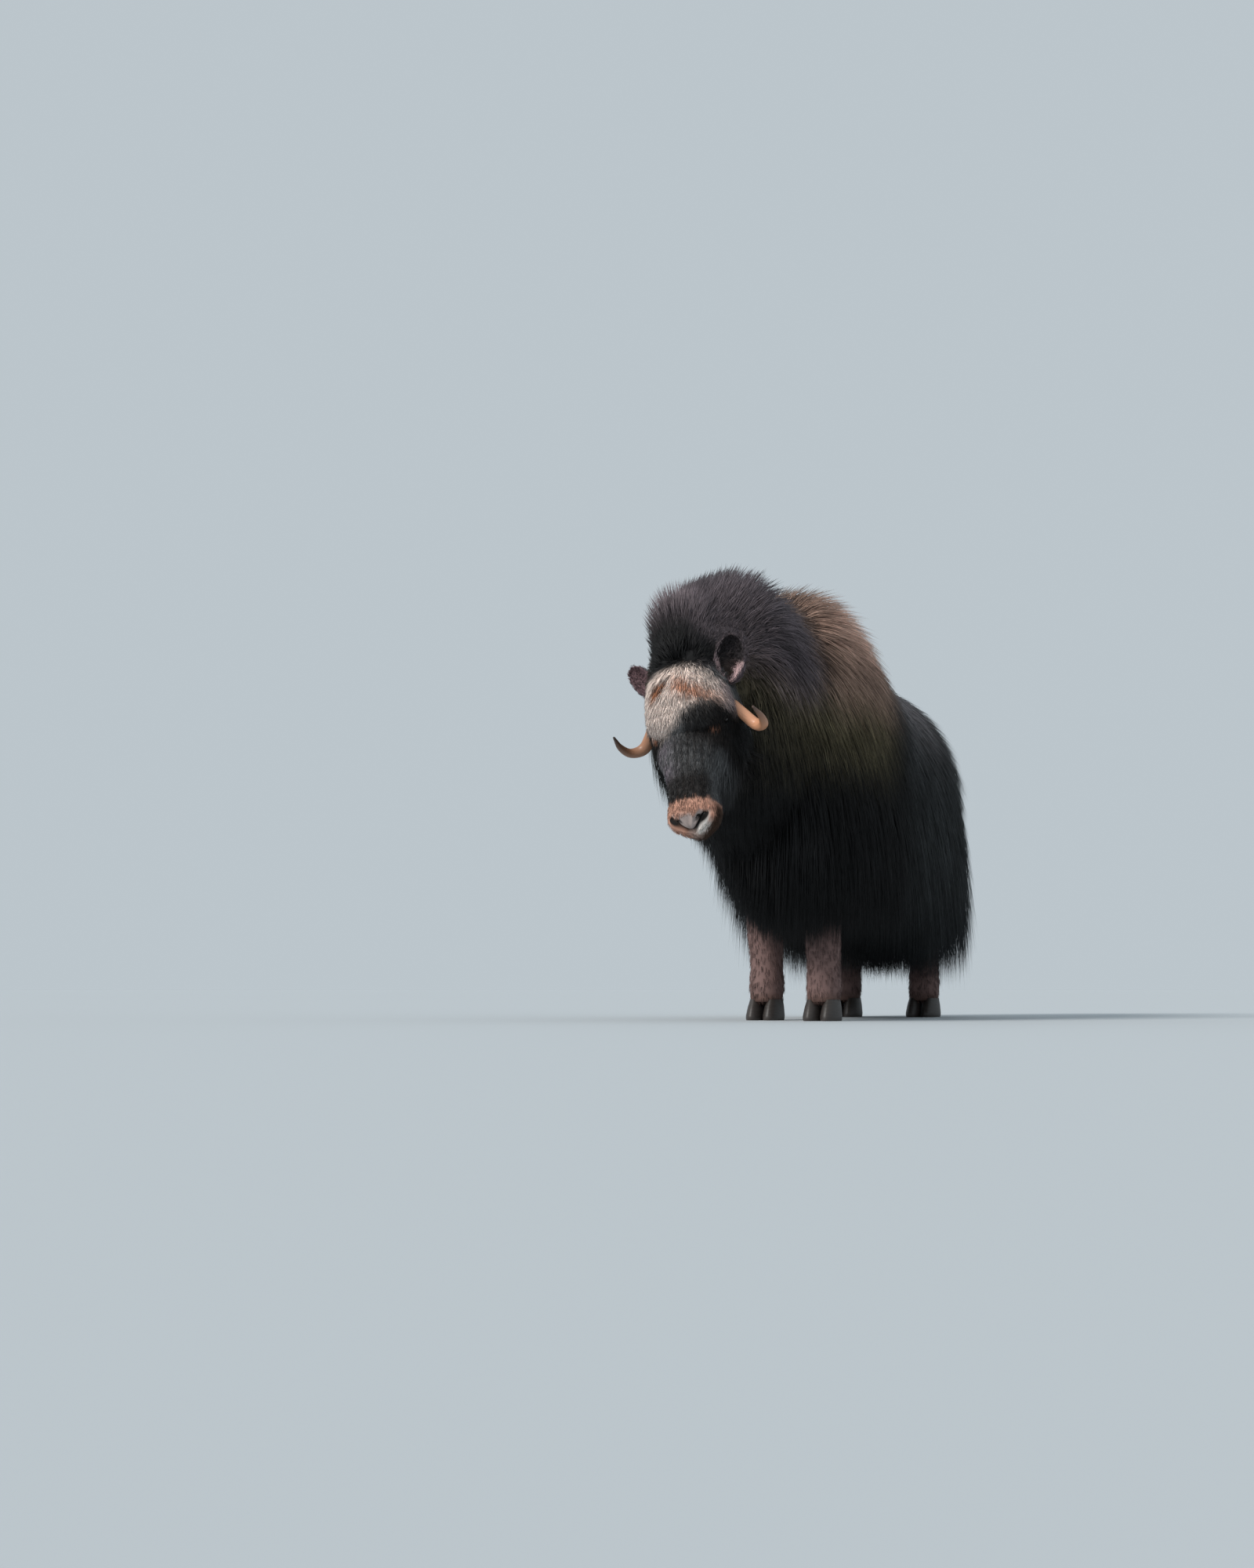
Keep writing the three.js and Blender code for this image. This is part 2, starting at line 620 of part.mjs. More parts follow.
// Rump: short hair over longer hair, and a skirt behind the hind legs
const RUMP_ROWS = [
  { z: 880, count: 3, spread: 84, length: 250 },
  { z: 765, count: 4, spread: 140, length: 280 },
];
const RUMP_SKIRT_ROWS = [
  { z: 660, count: 6, spread: 176, over: 40 },
  { z: 620, count: 3, spread: 112, over: 0 },
];
const rumpSpots = ({ count, spread }) =>
  Array.from({ length: count }, (_, i) => {
    const x = THREE.MathUtils.lerp(-spread, spread, i / (count - 1)) + jitter(6);
    return { x, y: 1076 - Math.abs(x) * 0.38, out: vector(x * 0.004, 1, 0).normalize() };
  });
function rumpLocks() {
  return RUMP_ROWS.flatMap((row) =>
    rumpSpots(row).map(({ x, y, out }) => {
      const lie = vector(jitter(0.08), 0.08, -1).normalize();
      return {
        root: vector(x, y, row.z),
        start: lie.clone().addScaledVector(out, 0.5).normalize(),
        end: lie,
        flat: out,
        length: row.length * draw(0.95, 1.05),
        wide: 128,
        thick: 17,
      };
    }),
  );
}
function rumpSkirtLocks() {
  return RUMP_SKIRT_ROWS.flatMap((row) =>
    rumpSpots(row).map(({ x, y, out }) => hangingLock(vector(x, y, row.z), out, row.over, 0.5, 132)),
  );
}

const NECK_LOCK_ROWS = [
  { angle: 0, length: 205, sides: [1], rise: 0.62, from: 0.4 },
  { angle: 26, length: 215, sides: [-1, 1], rise: 0.58, from: 0.5 },
  { angle: 52, length: 238, sides: [-1, 1], rise: 0.6, from: 0.4 },
  { angle: 78, length: 255, sides: [-1, 1], rise: 0.5, from: 0.5 },
  { angle: 106, length: 285, sides: [-1, 1], rise: 0.34, from: 0.4 },
  { angle: 138, length: 290, sides: [-1, 1], rise: 0.28, from: 0.5 },
];
function neckLocks() {
  return NECK_LOCK_ROWS.flatMap(({ angle, length, sides, rise, from }) => {
    const topness = Math.max(0, Math.cos(angle * RADIAN));
    return sides.flatMap((sign) =>
      rowOf(from, 0.98, 0.27).map((at) =>
        coatLock(neck, at, (angle + jitter(5)) * RADIAN * sign, {
          lie: vector(0, 0.3 + 0.8 * topness, -1 + 1.05 * topness),
          rise,
          fall: 0.5 - 0.35 * topness,
          length,
          wide: 142,
          thick: 16,
        }),
      ),
    );
  });
}

// Locks of the head: the woolly forelock between the horns, and the hair of the cheeks and throat
const FORELOCK_ROWS = [
  { down: 56, spread: 9, count: 2, length: 108 },
  { down: 108, spread: 66, count: 4, length: 96 },
  { down: 138, spread: 26, count: 2, length: 84 },
];
const POLL_SPOTS = [-80, -28, 28, 80]; // across the head, just behind the horns
const CHEEK_SPOTS = [
  { down: 150, angle: 112, length: 150 },
  { down: 215, angle: 124, length: 150 },
  { down: 215, angle: 160, length: 165 },
  { down: 290, angle: 132, length: 130 },
];
function headLocks() {
  const forelock = FORELOCK_ROWS.flatMap(({ down, spread, count, length }) =>
    Array.from({ length: count }, (_, i) => {
      const across = THREE.MathUtils.lerp(-spread, spread, i / (count - 1));
      return coatLock(head, down, Math.asin(across / headRow(down).half), {
        lie: along.clone().addScaledVector(left, across * 0.004),
        rise: 0.4,
        fall: 0,
        length,
        wide: 58,
        thick: 9,
        sink: 8,
      });
    }),
  );
  const poll = POLL_SPOTS.map((across) =>
    coatLock(head, 22, Math.asin(across / headRow(22).half), {
      lie: along.clone().negate().addScaledVector(BACKWARD, 0.2).addScaledVector(left, across * 0.003),
      rise: 0.5,
      fall: -0.2,
      length: 225,
      wide: 108,
      thick: 14,
    }),
  );
  const cheeks = [-1, 1].flatMap((sign) =>
    CHEEK_SPOTS.map(({ down, angle, length }) =>
      coatLock(head, down, angle * RADIAN * sign, {
        lie: vector(0, 0.5, -1),
        rise: 0.3,
        fall: 0.5,
        length,
        wide: 70,
        thick: 11,
        sink: 12,
      }),
    ),
  );
  return [...forelock, ...poll, ...cheeks];
}

// Parting: regions that hold one part each
function halfSpace(point, normal, reach = 1600) {
  const block = new THREE.BoxGeometry(2 * reach, 2 * reach, reach);
  block.translate(0, 0, reach / 2);
  block.applyQuaternion(new THREE.Quaternion().setFromUnitVectors(UP, normal.clone().normalize()));
  return solidOf(block.translate(point.x, point.y, point.z));
}
function region([x0, x1], [y0, y1], [z0, z1], grow = 0) {
  const block = new THREE.BoxGeometry(x1 - x0 + 2 * grow, y1 - y0 + 2 * grow, z1 - z0 + 2 * grow);
  return solidOf(block.translate((x0 + x1) / 2, (y0 + y1) / 2, (z0 + z1) / 2));
}

// Assembly. Each part is cut clear of the parts made before it, which are kept a little larger for that.
const solids = {};
const taken = [];
const boxesMeet = (a, b) => [0, 1, 2].every((i) => a.min[i] <= b.max[i] && b.min[i] <= a.max[i]);
function make(name, solid, clearances) {
  const box = solid.boundingBox();
  const near = taken.filter((other) => boxesMeet(box, other.boundingBox()));
  solids[name] = largest(near.length ? solid.subtract(joined(near)) : solid);
  taken.push(...clearances);
}
function makeCoated(name, core, clearance, settings) {
  const locks = settings.map((setting) => lock(setting));
  make(name, joined([core, ...locks]), [clearance, ...settings.map((setting) => lock(setting, GAP))]);
}

for (const [side, sign] of [["right", -1], ["left", 1]]) {
  const backing = joined([head.solid(...HEAD_MESH, GAP), neck.solid(...NECK_MESH, GAP)]);
  make(`eye_${side}`, eyeball(sign), [eyeball(sign, GAP)]);
  make(`horn_${side}`, horn(sign).solid(...HORN_MESH).subtract(backing), [horn(sign).solid(...HORN_MESH, GAP)]);
  make(`ear_${side}`, ear(side).subtract(backing), [ear(side, GAP)]);
}

const trunkCore = trunk.solid(...TRUNK_MESH);
const trunkClear = trunk.solid(...TRUNK_MESH, GAP);
for (const leg of LEGS) {
  const socket = region([-400, 400], [leg.y - 200, leg.y + 200], [0, HOOF.height]);
  const form = legForm(leg);
  const whole = joined([form.solid(...LEG_MESH), ...dewClaws(leg)]);
  make(`leg_${leg.name}`, whole.subtract(trunkClear).subtract(socket), [form.solid(...LEG_MESH, GAP)]);
  make(`hoof_${leg.name}`, hoof(leg), []);
}
make("tail", tail.solid(...TAIL_MESH).subtract(trunkClear), [tail.solid(...TAIL_MESH, GAP)]);

const lidMasses = [-1, 1].map((sign) =>
  headBall(eyePlace(sign), [EYE_RADIUS + LID + 5, EYE_RADIUS + LID, EYE_RADIUS + LID], 10),
);
const face = joined([head.solid(...HEAD_MESH), ...lidMasses, lip(7, 6), lip(-9, 7)])
  .subtract(mouthSlit())
  .subtract(joined([-1, 1].flatMap((sign) => [nostril(sign), lidOpening(sign)])));
makeCoated("head", face, head.solid(...HEAD_MESH, GAP), headLocks());

const neckSplit = { point: vector(0, -205, 900), side: vector(0, -0.99, 0.12) };
const neckHalf = halfSpace(neckSplit.point.clone().addScaledVector(neckSplit.side, GAP), neckSplit.side);
const trunkBody = joined([trunkCore, neck.solid(...NECK_MESH)]);
const bodyClear = joined([trunkClear, neck.solid(...NECK_MESH, GAP)]);
const neckClear = bodyClear.intersect(halfSpace(neckSplit.point, neckSplit.side));
makeCoated("neck", trunkBody.intersect(neckHalf), neckClear, neckLocks());

const [WIDE, LOW] = [[-600, 600], [0, SKIRT.top]];
const lowParts = {
  chest: { box: [WIDE, [-900, SKIRT.front], LOW], locks: chestLocks },
  rump_skirt: { box: [WIDE, [SKIRT.rear, 1500], LOW], locks: rumpSkirtLocks },
  skirt_right: { box: [[-600, -SKIRT.inner], [SKIRT.front, SKIRT.rear], LOW], locks: () => skirtLocks(-1) },
  skirt_left: { box: [[SKIRT.inner, 600], [SKIRT.front, SKIRT.rear], LOW], locks: () => skirtLocks(1) },
};
const lowBoxes = joined(Object.values(lowParts).map(({ box }) => region(...box)));
const lowBoxesClear = joined(Object.values(lowParts).map(({ box }) => region(...box, GAP)));
const upperLocks = [...flankLocks(-1), ...flankLocks(1), ...rumpLocks()];
makeCoated("torso", trunkBody.subtract(lowBoxesClear), trunkClear.subtract(lowBoxes), upperLocks);
for (const [name, { box, locks }] of Object.entries(lowParts)) {
  const inset = box.map(([low, high]) => [low + GAP / 2, high - GAP / 2]);
  makeCoated(name, trunkBody.intersect(region(...inset)), bodyClear.intersect(region(...box)), locks());
}

// Colours: dark brown coat, pale saddle and forehead, horn, and bare skin
const finishes = {
  coat: { color: 0x2a211c, roughness: 0.9 },
  face: { color: 0x3a2e28, roughness: 0.9 },
  leg: { color: 0x8d7566, roughness: 0.9 },
  horn: { color: 0xa56f45, roughness: 0.5 },
  hoof: { color: 0x2b2623, roughness: 0.6 },
  eye: { color: 0x120c09, roughness: 0.1 },
};
const finishOf = (name) => {
  const kind = name.split("_")[0];
  return finishes[{ head: "face", ear: "face" }[kind] ?? kind] ?? finishes.coat;
};

const muskox = new THREE.Group();
muskox.name = "muskox";
const whole = new THREE.Box3();
for (const [name, solid] of Object.entries(solids)) {
  const mesh = new THREE.Mesh(
    geometryOf(solid),
    new THREE.MeshStandardMaterial({ metalness: 0, ...finishOf(name) }),
  );
  mesh.name = name;
  whole.expandByObject(mesh);
  muskox.add(mesh);
}

// The origin is on the floor, under the middle of the whole animal.
const middle = whole.getCenter(vector(0, 0, 0));
muskox.position.set(-middle.x, -middle.y, -whole.min.z);

export default muskox;
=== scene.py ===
import json
import math

import bpy
import numpy as np
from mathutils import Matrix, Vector
from mathutils.bvhtree import BVHTree

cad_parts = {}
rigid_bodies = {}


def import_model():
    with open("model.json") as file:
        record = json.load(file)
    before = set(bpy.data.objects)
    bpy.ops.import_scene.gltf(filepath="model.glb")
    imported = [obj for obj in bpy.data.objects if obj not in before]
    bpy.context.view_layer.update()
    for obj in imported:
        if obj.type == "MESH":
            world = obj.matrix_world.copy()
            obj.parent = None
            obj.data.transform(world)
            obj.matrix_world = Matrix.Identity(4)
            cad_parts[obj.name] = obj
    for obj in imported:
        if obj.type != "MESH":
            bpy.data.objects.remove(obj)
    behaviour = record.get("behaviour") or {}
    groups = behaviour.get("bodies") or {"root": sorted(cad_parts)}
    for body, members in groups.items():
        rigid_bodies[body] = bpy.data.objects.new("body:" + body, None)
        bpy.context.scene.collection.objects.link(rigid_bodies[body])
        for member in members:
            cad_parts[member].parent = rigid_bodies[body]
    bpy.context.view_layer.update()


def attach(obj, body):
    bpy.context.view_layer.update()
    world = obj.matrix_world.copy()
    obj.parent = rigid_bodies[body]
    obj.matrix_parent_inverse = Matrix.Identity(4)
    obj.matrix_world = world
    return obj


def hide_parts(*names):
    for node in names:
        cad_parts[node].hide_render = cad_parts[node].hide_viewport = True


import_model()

# Camera: low on the animal's left and 7.5 m off, looking slightly up, with the animal small and right of the
# middle of the frame. The lens is for a sensor 36 mm high.
FORE_FEET = Vector((0.02964, -0.25007, 0.0))  # the floor between the fore hooves, where the sizes start from
VIEW_AZIMUTH = math.radians(18)
VIEW_DISTANCE = 7.5
VIEW_HEIGHT = 0.10
VIEW_PITCH = math.radians(4.52)
VIEW_ASIDE = math.radians(3.74)  # the camera aims this far to the left of the animal

camera_data = bpy.data.cameras.new("camera")
camera_data.sensor_fit = "VERTICAL"
camera_data.sensor_height = 36.0
camera_data.sensor_width = 36.0
camera_data.lens = 58.7
camera_data.clip_end = 200.0
camera = bpy.data.objects.new("camera", camera_data)
bpy.context.scene.collection.objects.link(camera)
bpy.context.scene.camera = camera
camera.location = FORE_FEET + Vector(
    (math.sin(VIEW_AZIMUTH) * VIEW_DISTANCE, -math.cos(VIEW_AZIMUTH) * VIEW_DISTANCE, VIEW_HEIGHT)
)
heading = VIEW_AZIMUTH + math.radians(90) + VIEW_ASIDE
aim = Vector((
    math.cos(heading) * math.cos(VIEW_PITCH),
    math.sin(heading) * math.cos(VIEW_PITCH),
    math.sin(VIEW_PITCH),
))
camera.rotation_euler = aim.to_track_quat("-Z", "Y").to_euler()

# Skin: the body under the coat, in one piece from the muzzle to the tail and down to the hooves. It is hide
# over flesh, made as lofts along the trunk, neck, head, legs and tail. The ears are thin cups, and the eyes
# have lids.
RADIAN = math.pi / 180


def in_frame(points):
    """Points in millimetres from the floor between the fore feet become metres in the frame."""
    return np.asarray(points) * 0.001 + np.array(FORE_FEET)


def unit(vectors):
    vectors = np.asarray(vectors, float)
    return vectors / np.maximum(np.linalg.norm(vectors, axis=-1, keepdims=True), 1e-9)


def smooth_rows(rows):
    """Rows of sizes, each starting with its place, become a function that gives the sizes at any places."""
    rows = np.array(rows, float)
    place, sizes = rows[:, 0], rows[:, 1:]
    before = np.maximum(np.arange(len(rows)) - 1, 0)
    after = np.minimum(np.arange(len(rows)) + 1, len(rows) - 1)
    slope = (sizes[after] - sizes[before]) / (place[after] - place[before])[:, None]

    def sizes_at(at):
        at = np.atleast_1d(np.asarray(at, float))
        i = np.clip(np.searchsorted(place, at, side="left") - 1, 0, len(rows) - 2)
        span = (place[i + 1] - place[i])[:, None]
        u = np.clip((at - place[i])[:, None] / span, 0, 1)
        start = sizes[i] * (2 * u**3 - 3 * u**2 + 1) + slope[i] * span * (u**3 - 2 * u**2 + u)
        return start + sizes[i + 1] * (3 * u**2 - 2 * u**3) + slope[i + 1] * span * (u**3 - u**2)

    return sizes_at


def smoothstep(value, low, high):
    u = np.clip((value - low) / (high - low), 0, 1)
    return u * u * (3 - 2 * u)


def near(value, centre, spread):
    """One at the centre, fading evenly to nought at both sides of it."""
    return np.exp(-(((value - centre) / spread) ** 2))


UP = np.array([0.0, 0.0, 1.0])
SIDEWAYS = np.array([1.0, 0.0, 0.0])
BACKWARD = np.array([0.0, 1.0, 0.0])

# y, then x, back, belly, half width and middle height
TRUNK_ROWS = [
    (-310, -44, 1020, 640, 110, 800),
    (-250, -34, 1110, 540, 172, 770),
    (-120, -12, 1180, 470, 212, 740),
    (40, 0, 1195, 440, 225, 715),
    (200, 0, 1140, 430, 232, 700),
    (380, 0, 1060, 430, 236, 690),
    (600, 0, 1025, 430, 240, 685),
    (800, 0, 1005, 430, 236, 685),
    (950, 0, 955, 440, 214, 690),
    (1060, 0, 885, 480, 168, 695),
    (1120, 0, 805, 570, 100, 700),
]
# share of the length, then x, y, z, lean in degrees, half width, height over and under the middle
NECK_ROWS = [
    (0.0, 0, -60, 850, 0, 165, 300, 300),
    (0.35, -32, -230, 855, 3, 172, 318, 300),
    (0.62, -76, -370, 865, 8, 168, 300, 260),
    (0.85, -112, -475, 870, 14, 148, 246, 200),
    (1.0, -126, -540, 868, 18, 108, 176, 140),
    (1.08, -126, -588, 866, 22, 44, 50, 70),
]
# way down from the poll, then half width, height of the forehead side and depth of the jaw side
HEAD_ROWS = [
    (-45, 58, 45, 60),
    (0, 98, 86, 108),
    (60, 116, 104, 130),
    (130, 120, 102, 146),
    (200, 112, 92, 148),
    (280, 88, 79, 126),
    (360, 70, 70, 98),
    (420, 67, 64, 82),
    (465, 66, 55, 72),
    (492, 54, 38, 56),
    (508, 26, 18, 28),
]
# height, then half width, half depth and shift to the rear
FORE_LEG_ROWS = [
    (52, 46, 50, 0),
    (100, 49, 55, 6),
    (170, 47, 49, 4),
    (260, 53, 56, -3),
    (380, 64, 72, 0),
    (620, 72, 92, 10),
]
HIND_LEG_ROWS = [
    (52, 45, 49, 0),
    (100, 48, 55, 6),
    (170, 46, 49, 9),
    (270, 50, 58, 18),
    (380, 62, 78, 18),
    (620, 74, 104, -30),
]
LEGS = {
    "fore_left": (100, -39, FORE_LEG_ROWS),
    "fore_right": (-100, 39, FORE_LEG_ROWS),
    "hind_left": (122, 984, HIND_LEG_ROWS),
    "hind_right": (-122, 916, HIND_LEG_ROWS),
}

# The head hangs from the poll, nose down, turned a little to its right, with its left side a little higher.
POLL = np.array([-121.0, -538.0, 953.0])
HEAD_SHARE = 0.9  # places down the head are for one 500 mm long, and this one is shorter by this share
HEAD_TURN = 5 * RADIAN
HEAD_DROP = 74.5 * RADIAN
HEAD_TILT = 9 * RADIAN
AHEAD = -SIDEWAYS * math.sin(HEAD_TURN) - BACKWARD * math.cos(HEAD_TURN)
LEVEL = SIDEWAYS * math.cos(HEAD_TURN) - BACKWARD * math.sin(HEAD_TURN)
LEFT = LEVEL * math.cos(HEAD_TILT) + UP * math.sin(HEAD_TILT)
UPRIGHT = UP * math.cos(HEAD_TILT) - LEVEL * math.sin(HEAD_TILT)
ALONG = AHEAD * math.cos(HEAD_DROP) - UPRIGHT * math.sin(HEAD_DROP)
BROW = AHEAD * math.sin(HEAD_DROP) + UPRIGHT * math.cos(HEAD_DROP)


def on_head(down, across, out):
    down, across, out = [np.asarray(value, float)[..., None] for value in (down, across, out)]
    return POLL + ALONG * (down * HEAD_SHARE) + LEFT * across + BROW * out


def head_place(points):
    """Down, across and out of points in millimetres."""
    offset = points - POLL
    return offset @ ALONG / HEAD_SHARE, offset @ LEFT, offset @ BROW


def trunk_section(at):
    x, back, belly, half, middle = trunk_sizes(at).T
    centre = np.stack([x, at, middle], axis=1)
    return centre, SIDEWAYS, UP, half, back - middle, middle - belly, 0.86


def neck_section(at):
    x, y, z, lean, half, top, under = neck_sizes(at).T
    up = np.stack([np.zeros_like(lean), -np.sin(lean * RADIAN), np.cos(lean * RADIAN)], axis=1)
    return np.stack([x, y, z], axis=1), SIDEWAYS, up, half, top, under, 0.95


def head_section(at):
    half, top, under = head_sizes(at).T
    return on_head(at, 0, 0), LEFT, BROW, half, top, under, 0.92


def leg_section(x, y, sizes):
    def section(at):
        half, deep, shift = sizes(at).T
        centre = np.stack([np.full_like(at, x), y + shift, at], axis=1)
        return centre, SIDEWAYS, BACKWARD, half, deep, deep, 1.0

    return section


def tail_section(at):
    centre = np.stack([np.zeros_like(at), 1112 + 36 * at**0.6, 900 - 150 * at], axis=1)
    up = np.array([0, 0.96, 0.28])
    return centre, SIDEWAYS, up, 34 - 18 * at, 20 - 9 * at, 20 - 9 * at, 1.0


trunk_sizes = smooth_rows(TRUNK_ROWS)
neck_sizes = smooth_rows(NECK_ROWS)
head_sizes = smooth_rows(HEAD_ROWS)


def loft(section, stations, angles):
    """Points of a body part, one ring of points for each station, and their outward normals."""
    centre, side, up, half, top, under, square = section(stations)
    sine, cosine = np.sin(angles), np.cos(angles)
    across = np.sign(sine) * np.abs(sine) ** square
    upward = np.sign(cosine) * np.abs(cosine) ** square
    reach = np.where(upward > 0, top[:, None], under[:, None]) * upward
    side = np.broadcast_to(side, centre.shape)[:, None, :]
    up = np.broadcast_to(up, centre.shape)[:, None, :]
    points = centre[:, None, :] + side * (half[:, None] * across)[..., None] + up * reach[..., None]
    return points, ring_normals(points, centre)


def ring_normals(points, centre):
    along_it = np.gradient(points, axis=0)
    round_it = np.roll(points, -1, axis=1) - np.roll(points, 1, axis=1)
    normals = unit(np.cross(along_it, round_it))
    inward = np.sum(normals * (points - centre[:, None, :]), axis=2) < 0
    normals[inward] *= -1
    return normals


class SkinPart:
    """One loft of the skin: its points, faces and the place of each face's corners on the skin's unwrap."""

    def __init__(self, name, points, normals, patch):
        self.name, self.patch = name, patch
        rings, sides = points.shape[:2]
        ends = [points[0].mean(axis=0), points[-1].mean(axis=0)]
        end_normals = [unit(ends[0] - points[2].mean(axis=0)), unit(ends[1] - points[-3].mean(axis=0))]
        self.points = np.concatenate([points.reshape(-1, 3), ends])
        self.normals = np.concatenate([normals.reshape(-1, 3), end_normals])
        self.angle = np.concatenate([np.tile(np.linspace(0, 1, sides, endpoint=False), rings), [0.5, 0.5]])
        self.faces, self.corners = [], []
        for i in range(rings - 1):
            for j in range(sides):
                k = (j + 1) % sides
                self.faces.append((i * sides + j, i * sides + k, (i + 1) * sides + k, (i + 1) * sides + j))
                low, high = i / (rings - 1), (i + 1) / (rings - 1)
                here, there = j / sides, (j + 1) / sides
                self.corners.append([(low, here), (low, there), (high, there), (high, here)])
        for ring, end, edge in ((0, rings * sides, 0.0), (rings - 1, rings * sides + 1, 1.0)):
            for j in range(sides):
                pair = (ring * sides + j, ring * sides + (j + 1) % sides)
                self.faces.append((end, *(pair if ring else pair[::-1])))
                self.corners.append([(edge, j / sides)] * 3)
        self.turn_out()

    def turn_out(self):
        """Faces are turned over where the loft runs the other way round."""
        sample = self.faces[: len(self.faces) // 2 : 7]
        a, b, c = [self.points[[face[i] for face in sample]] for i in (0, 1, 2)]
        normals = self.normals[[face[0] for face in sample]]
        if np.sum(np.cross(b - a, c - a) * normals) < 0:
            self.faces = [face[::-1] for face in self.faces]
            self.corners = [corner[::-1] for corner in self.corners]


def even(low, high, count):
    return np.linspace(low, high, count)


def rounded(angle_count):
    return np.linspace(0, 2 * math.pi, angle_count, endpoint=False)


TRUNK_ENDS = (-310, 1120)
NECK_END = 1.08
LEG_ENDS = (54, 600)
skin_parts = []
points, normals = loft(trunk_section, even(*TRUNK_ENDS, 110), rounded(110))
skin_parts.append(SkinPart("trunk", points, normals, (0.01, 0.01, 0.48, 0.48)))
points, normals = loft(neck_section, even(0, NECK_END, 54), rounded(96))
skin_parts.append(SkinPart("neck", points, normals, (0.51, 0.01, 0.98, 0.24)))
for number, (name, (x, y, rows)) in enumerate(LEGS.items()):
    points, normals = loft(leg_section(x, y, smooth_rows(rows)), even(*LEG_ENDS, 60), rounded(36))
    low = 0.51 + number * 0.12
    skin_parts.append(SkinPart("leg_" + name, points, normals, (low, 0.27, low + 0.11, 0.48)))
points, normals = loft(tail_section, even(0, 1, 14), rounded(20))
skin_parts.append(SkinPart("tail", points, normals, (0.01, 0.51, 0.11, 0.6)))

# The head's rings lie closer at the eyes and the muzzle, and its points closer round each ring at the eyes.
EYE_DOWN = 178.0
EYE_ACROSS = 94.0
EYE_OUT = 16.0
EYE_RADIUS = 19.0
LID_RADIUS = 23.5
head_stations = np.concatenate(
    [even(-45, 165, 26)[:-1], even(165, 226, 34)[:-1], even(226, 420, 26)[:-1], even(420, 508, 36)]
)
half_round = np.concatenate([even(0, 45, 18)[:-1], even(45, 80, 30)[:-1], even(80, 180, 38)]) * RADIAN
head_angles = np.concatenate([half_round, 2 * math.pi - half_round[-2:0:-1]])
head_points, head_normals = loft(head_section, head_stations, head_angles)


def bump(points, down, across, out, radius, height, stretch=1.0):
    """How far a soft swelling, or a hollow where height is negative, moves each point outwards."""
    d, a, o = head_place(points)
    far = ((d - down) / stretch) ** 2 + (a - across) ** 2 + (o - out) ** 2
    return height * np.exp(-far / (2 * radius**2))


def eye_frame(sign):
    """The eye's middle, the way it looks and the way its opening runs."""
    axis = unit(LEFT * sign * 0.86 + BROW * 0.5 - ALONG * 0.05)
    return on_head(EYE_DOWN, EYE_ACROSS * sign, EYE_OUT), axis, unit(ALONG - axis * (ALONG @ axis))


def round_eye(points, normals, sign):
    """Lids swell over the eyeball, and the skin drops behind it inside the opening."""
    eye, axis, length = eye_frame(sign)
    offset = points - eye
    ahead = offset @ axis
    aside = offset - ahead[..., None] * axis
    across = np.cross(axis, length) * sign
    l, h = aside @ length, aside @ across
    off_axis = np.hypot(l, h)
    lid = np.sqrt(np.maximum(LID_RADIUS**2 - off_axis**2 * 0.62, 0)) * (ahead > -5)
    rise = np.maximum(lid - ahead, 0) * smoothstep(off_axis, 40, 22)
    almond = np.hypot(l / 17.5, h / 10.5)
    drop = (np.maximum(ahead + rise, 0) - 9) * smoothstep(almond, 1.0, 0.8) * (ahead > 0)
    fold = 2.6 * np.exp(-((almond - 2.15) ** 2) / 0.05) * (ahead > 0) * (h * np.sign(across @ UP) > -4)
    return axis * (rise - drop)[..., None] - normals * fold[..., None]


MOUTH_OUT = 14.0
MOUTH_CLIMB = 24.0
MOUTH_FROM = 462.0
NOSTRIL_ACROSS = 27.0
NOSTRIL_OUT = 39.0


def mouth_line(across):
    """How far out the mouth lies: lowest in the middle and higher to both corners."""
    return MOUTH_OUT + MOUTH_CLIMB * (1 - near(across, 0, 26))


def shape_muzzle(points):
    """Outward shifts of the nose, lips and chin."""
    down, across, out = head_place(points)
    front = smoothstep(down, MOUTH_FROM, MOUTH_FROM + 14)
    off = out - mouth_line(across)
    shift = (3.6 * near(off, 14, 8) + 5 * near(off, -14, 9) - 10 * near(off, 0, 4.2)) * front
    shift += 4 * near(off, -42, 14) * smoothstep(down, 435, 470)
    for sign in (-1, 1):
        aside = across * sign - NOSTRIL_ACROSS
        curve = out - NOSTRIL_OUT - 0.28 * aside + 0.02 * aside**2 - 2
        pit = near(curve, 0, 4.2) * near(aside, 0, 10.5) * smoothstep(down, 455, 474)
        rim = near(curve, 9, 4.5) * near(aside, 0, 15) * smoothstep(down, 450, 470)
        shift += 4.5 * rim - 12 * pit
    return shift - 3.5 * near(across, 0, 3.6) * smoothstep(down, 478, 496) * (out > MOUTH_OUT + 8)


# Swellings of the skull and lips, and hollows where the height is negative: down, across, out, radius,
# height and stretch along the head. The paired ones are on both sides.
SINGLE_SWELLINGS = [
    (166, 84, 66, 26, 12, 1.0),
    (166, -84, 66, 26, 2, 1.0),
    (255, 0, 84, 34, 5, 2.0),
    (505, 8, -26, 24, 12, 1.0),
]
PAIRED_SWELLINGS = [
    (330, 62, 8, 26, -5, 2.2),
    (238, 92, -52, 36, 7, 1.6),
    (216, 64, 66, 26, -14, 1.0),
    (262, 84, 8, 26, 6, 1.5),
    (474, 34, 24, 22, 6, 1.0),
    (455, 62, 2, 28, 3, 1.0),
]
swell = sum(bump(head_points, *row) for row in SINGLE_SWELLINGS)
for down, across, *rest in PAIRED_SWELLINGS:
    swell = swell + bump(head_points, down, across, *rest) + bump(head_points, down, -across, *rest)
head_points = head_points + head_normals * (swell + shape_muzzle(head_points))[..., None]
